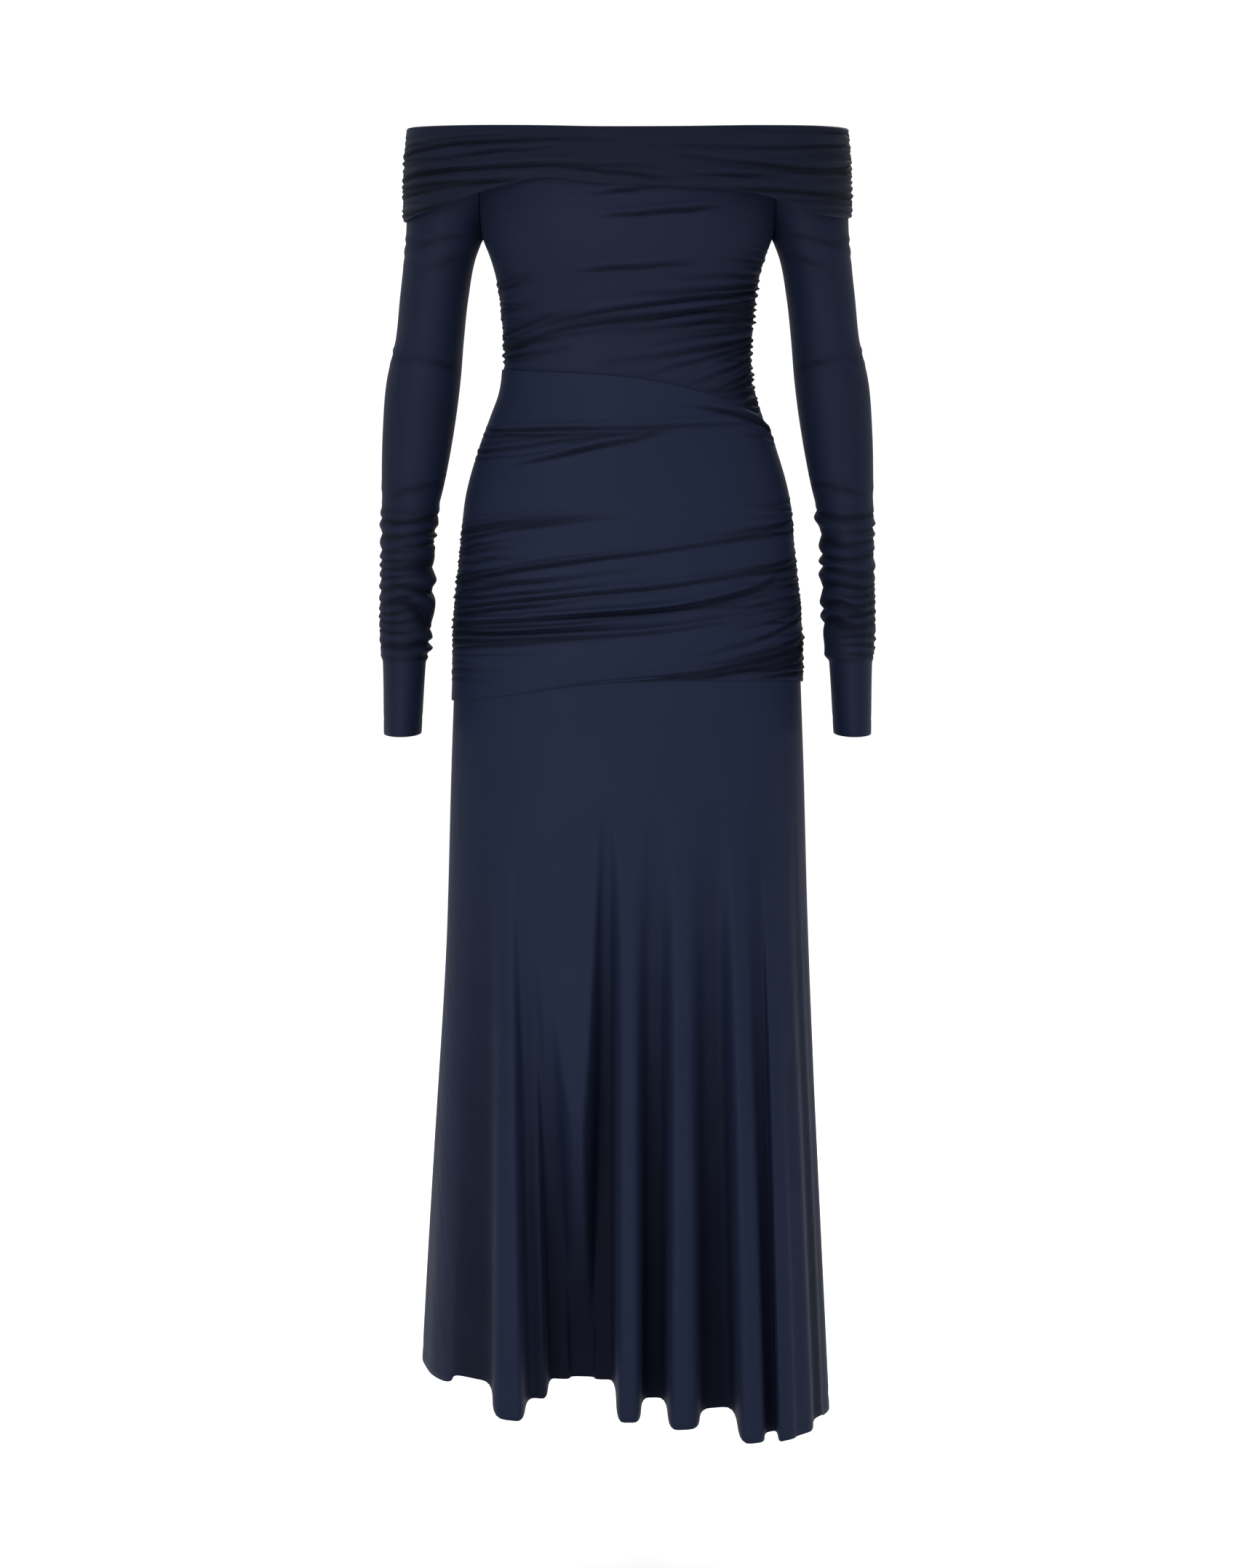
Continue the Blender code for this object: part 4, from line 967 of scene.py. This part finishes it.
def add_light(name, place, aim, size, power):
    light = bpy.data.lights.new(name, "AREA")
    light.shape = "RECTANGLE"
    light.size, light.size_y = size
    light.energy = power
    lamp = bpy.data.objects.new(name, light)
    lamp.location = place
    lamp.rotation_euler = (Vector(aim) - Vector(place)).to_track_quat("-Z", "Y").to_euler()
    bpy.context.scene.collection.objects.link(lamp)


def make_studio():
    """Pale floor, pale surroundings and soft light from above and in front."""
    mesh = bpy.data.meshes.new("floor")
    turns = [math.tau * number / FLOOR_CORNERS for number in range(FLOOR_CORNERS)]
    corners = [(math.cos(turn) * FLOOR_RADIUS, math.sin(turn) * FLOOR_RADIUS, FLOOR_HEIGHT) for turn in turns]
    mesh.from_pydata(corners, [], [tuple(range(FLOOR_CORNERS))])
    mesh.materials.append(plain("pale_floor", (0.95, 0.95, 0.95, 1.0), 0.8))
    floor = bpy.data.objects.new("floor", mesh)
    bpy.context.scene.collection.objects.link(floor)
    world = bpy.data.worlds.new("pale_surroundings")
    world.use_nodes = True
    world.node_tree.nodes["Background"].inputs["Color"].default_value = (1.0, 1.0, 1.0, 1.0)
    world.node_tree.nodes["Background"].inputs["Strength"].default_value = SURROUNDINGS
    bpy.context.scene.world = world
    add_light("key", place=(-0.9, -2.4, -0.2), aim=(0.0, 0.0, -0.62), size=(1.4, 1.4), power=52)
    add_light("fill", place=(1.6, -2.2, -0.3), aim=(0.0, 0.0, -0.7), size=(1.2, 1.6), power=16)
    add_light("behind", place=(0.6, 2.8, 1.4), aim=(0.0, 0.0, -0.5), size=(1.6, 1.6), power=60)
    bpy.context.scene.view_settings.view_transform = "Standard"


def make_camera():
    camera = bpy.data.cameras.new("camera")
    camera.sensor_width = SENSOR
    camera.lens = SENSOR * CAMERA_DISTANCE / FRAME_HEIGHT
    camera.clip_end = 50
    view = bpy.data.objects.new("camera", camera)
    away = Vector((0, -math.cos(CAMERA_ELEVATION), math.sin(CAMERA_ELEVATION)))
    view.location = TARGET + away * CAMERA_DISTANCE
    view.rotation_euler = (-away).to_track_quat("-Z", "Y").to_euler()
    bpy.context.scene.collection.objects.link(view)
    bpy.context.scene.camera = view


make_camera()
make_studio()
make_dress()
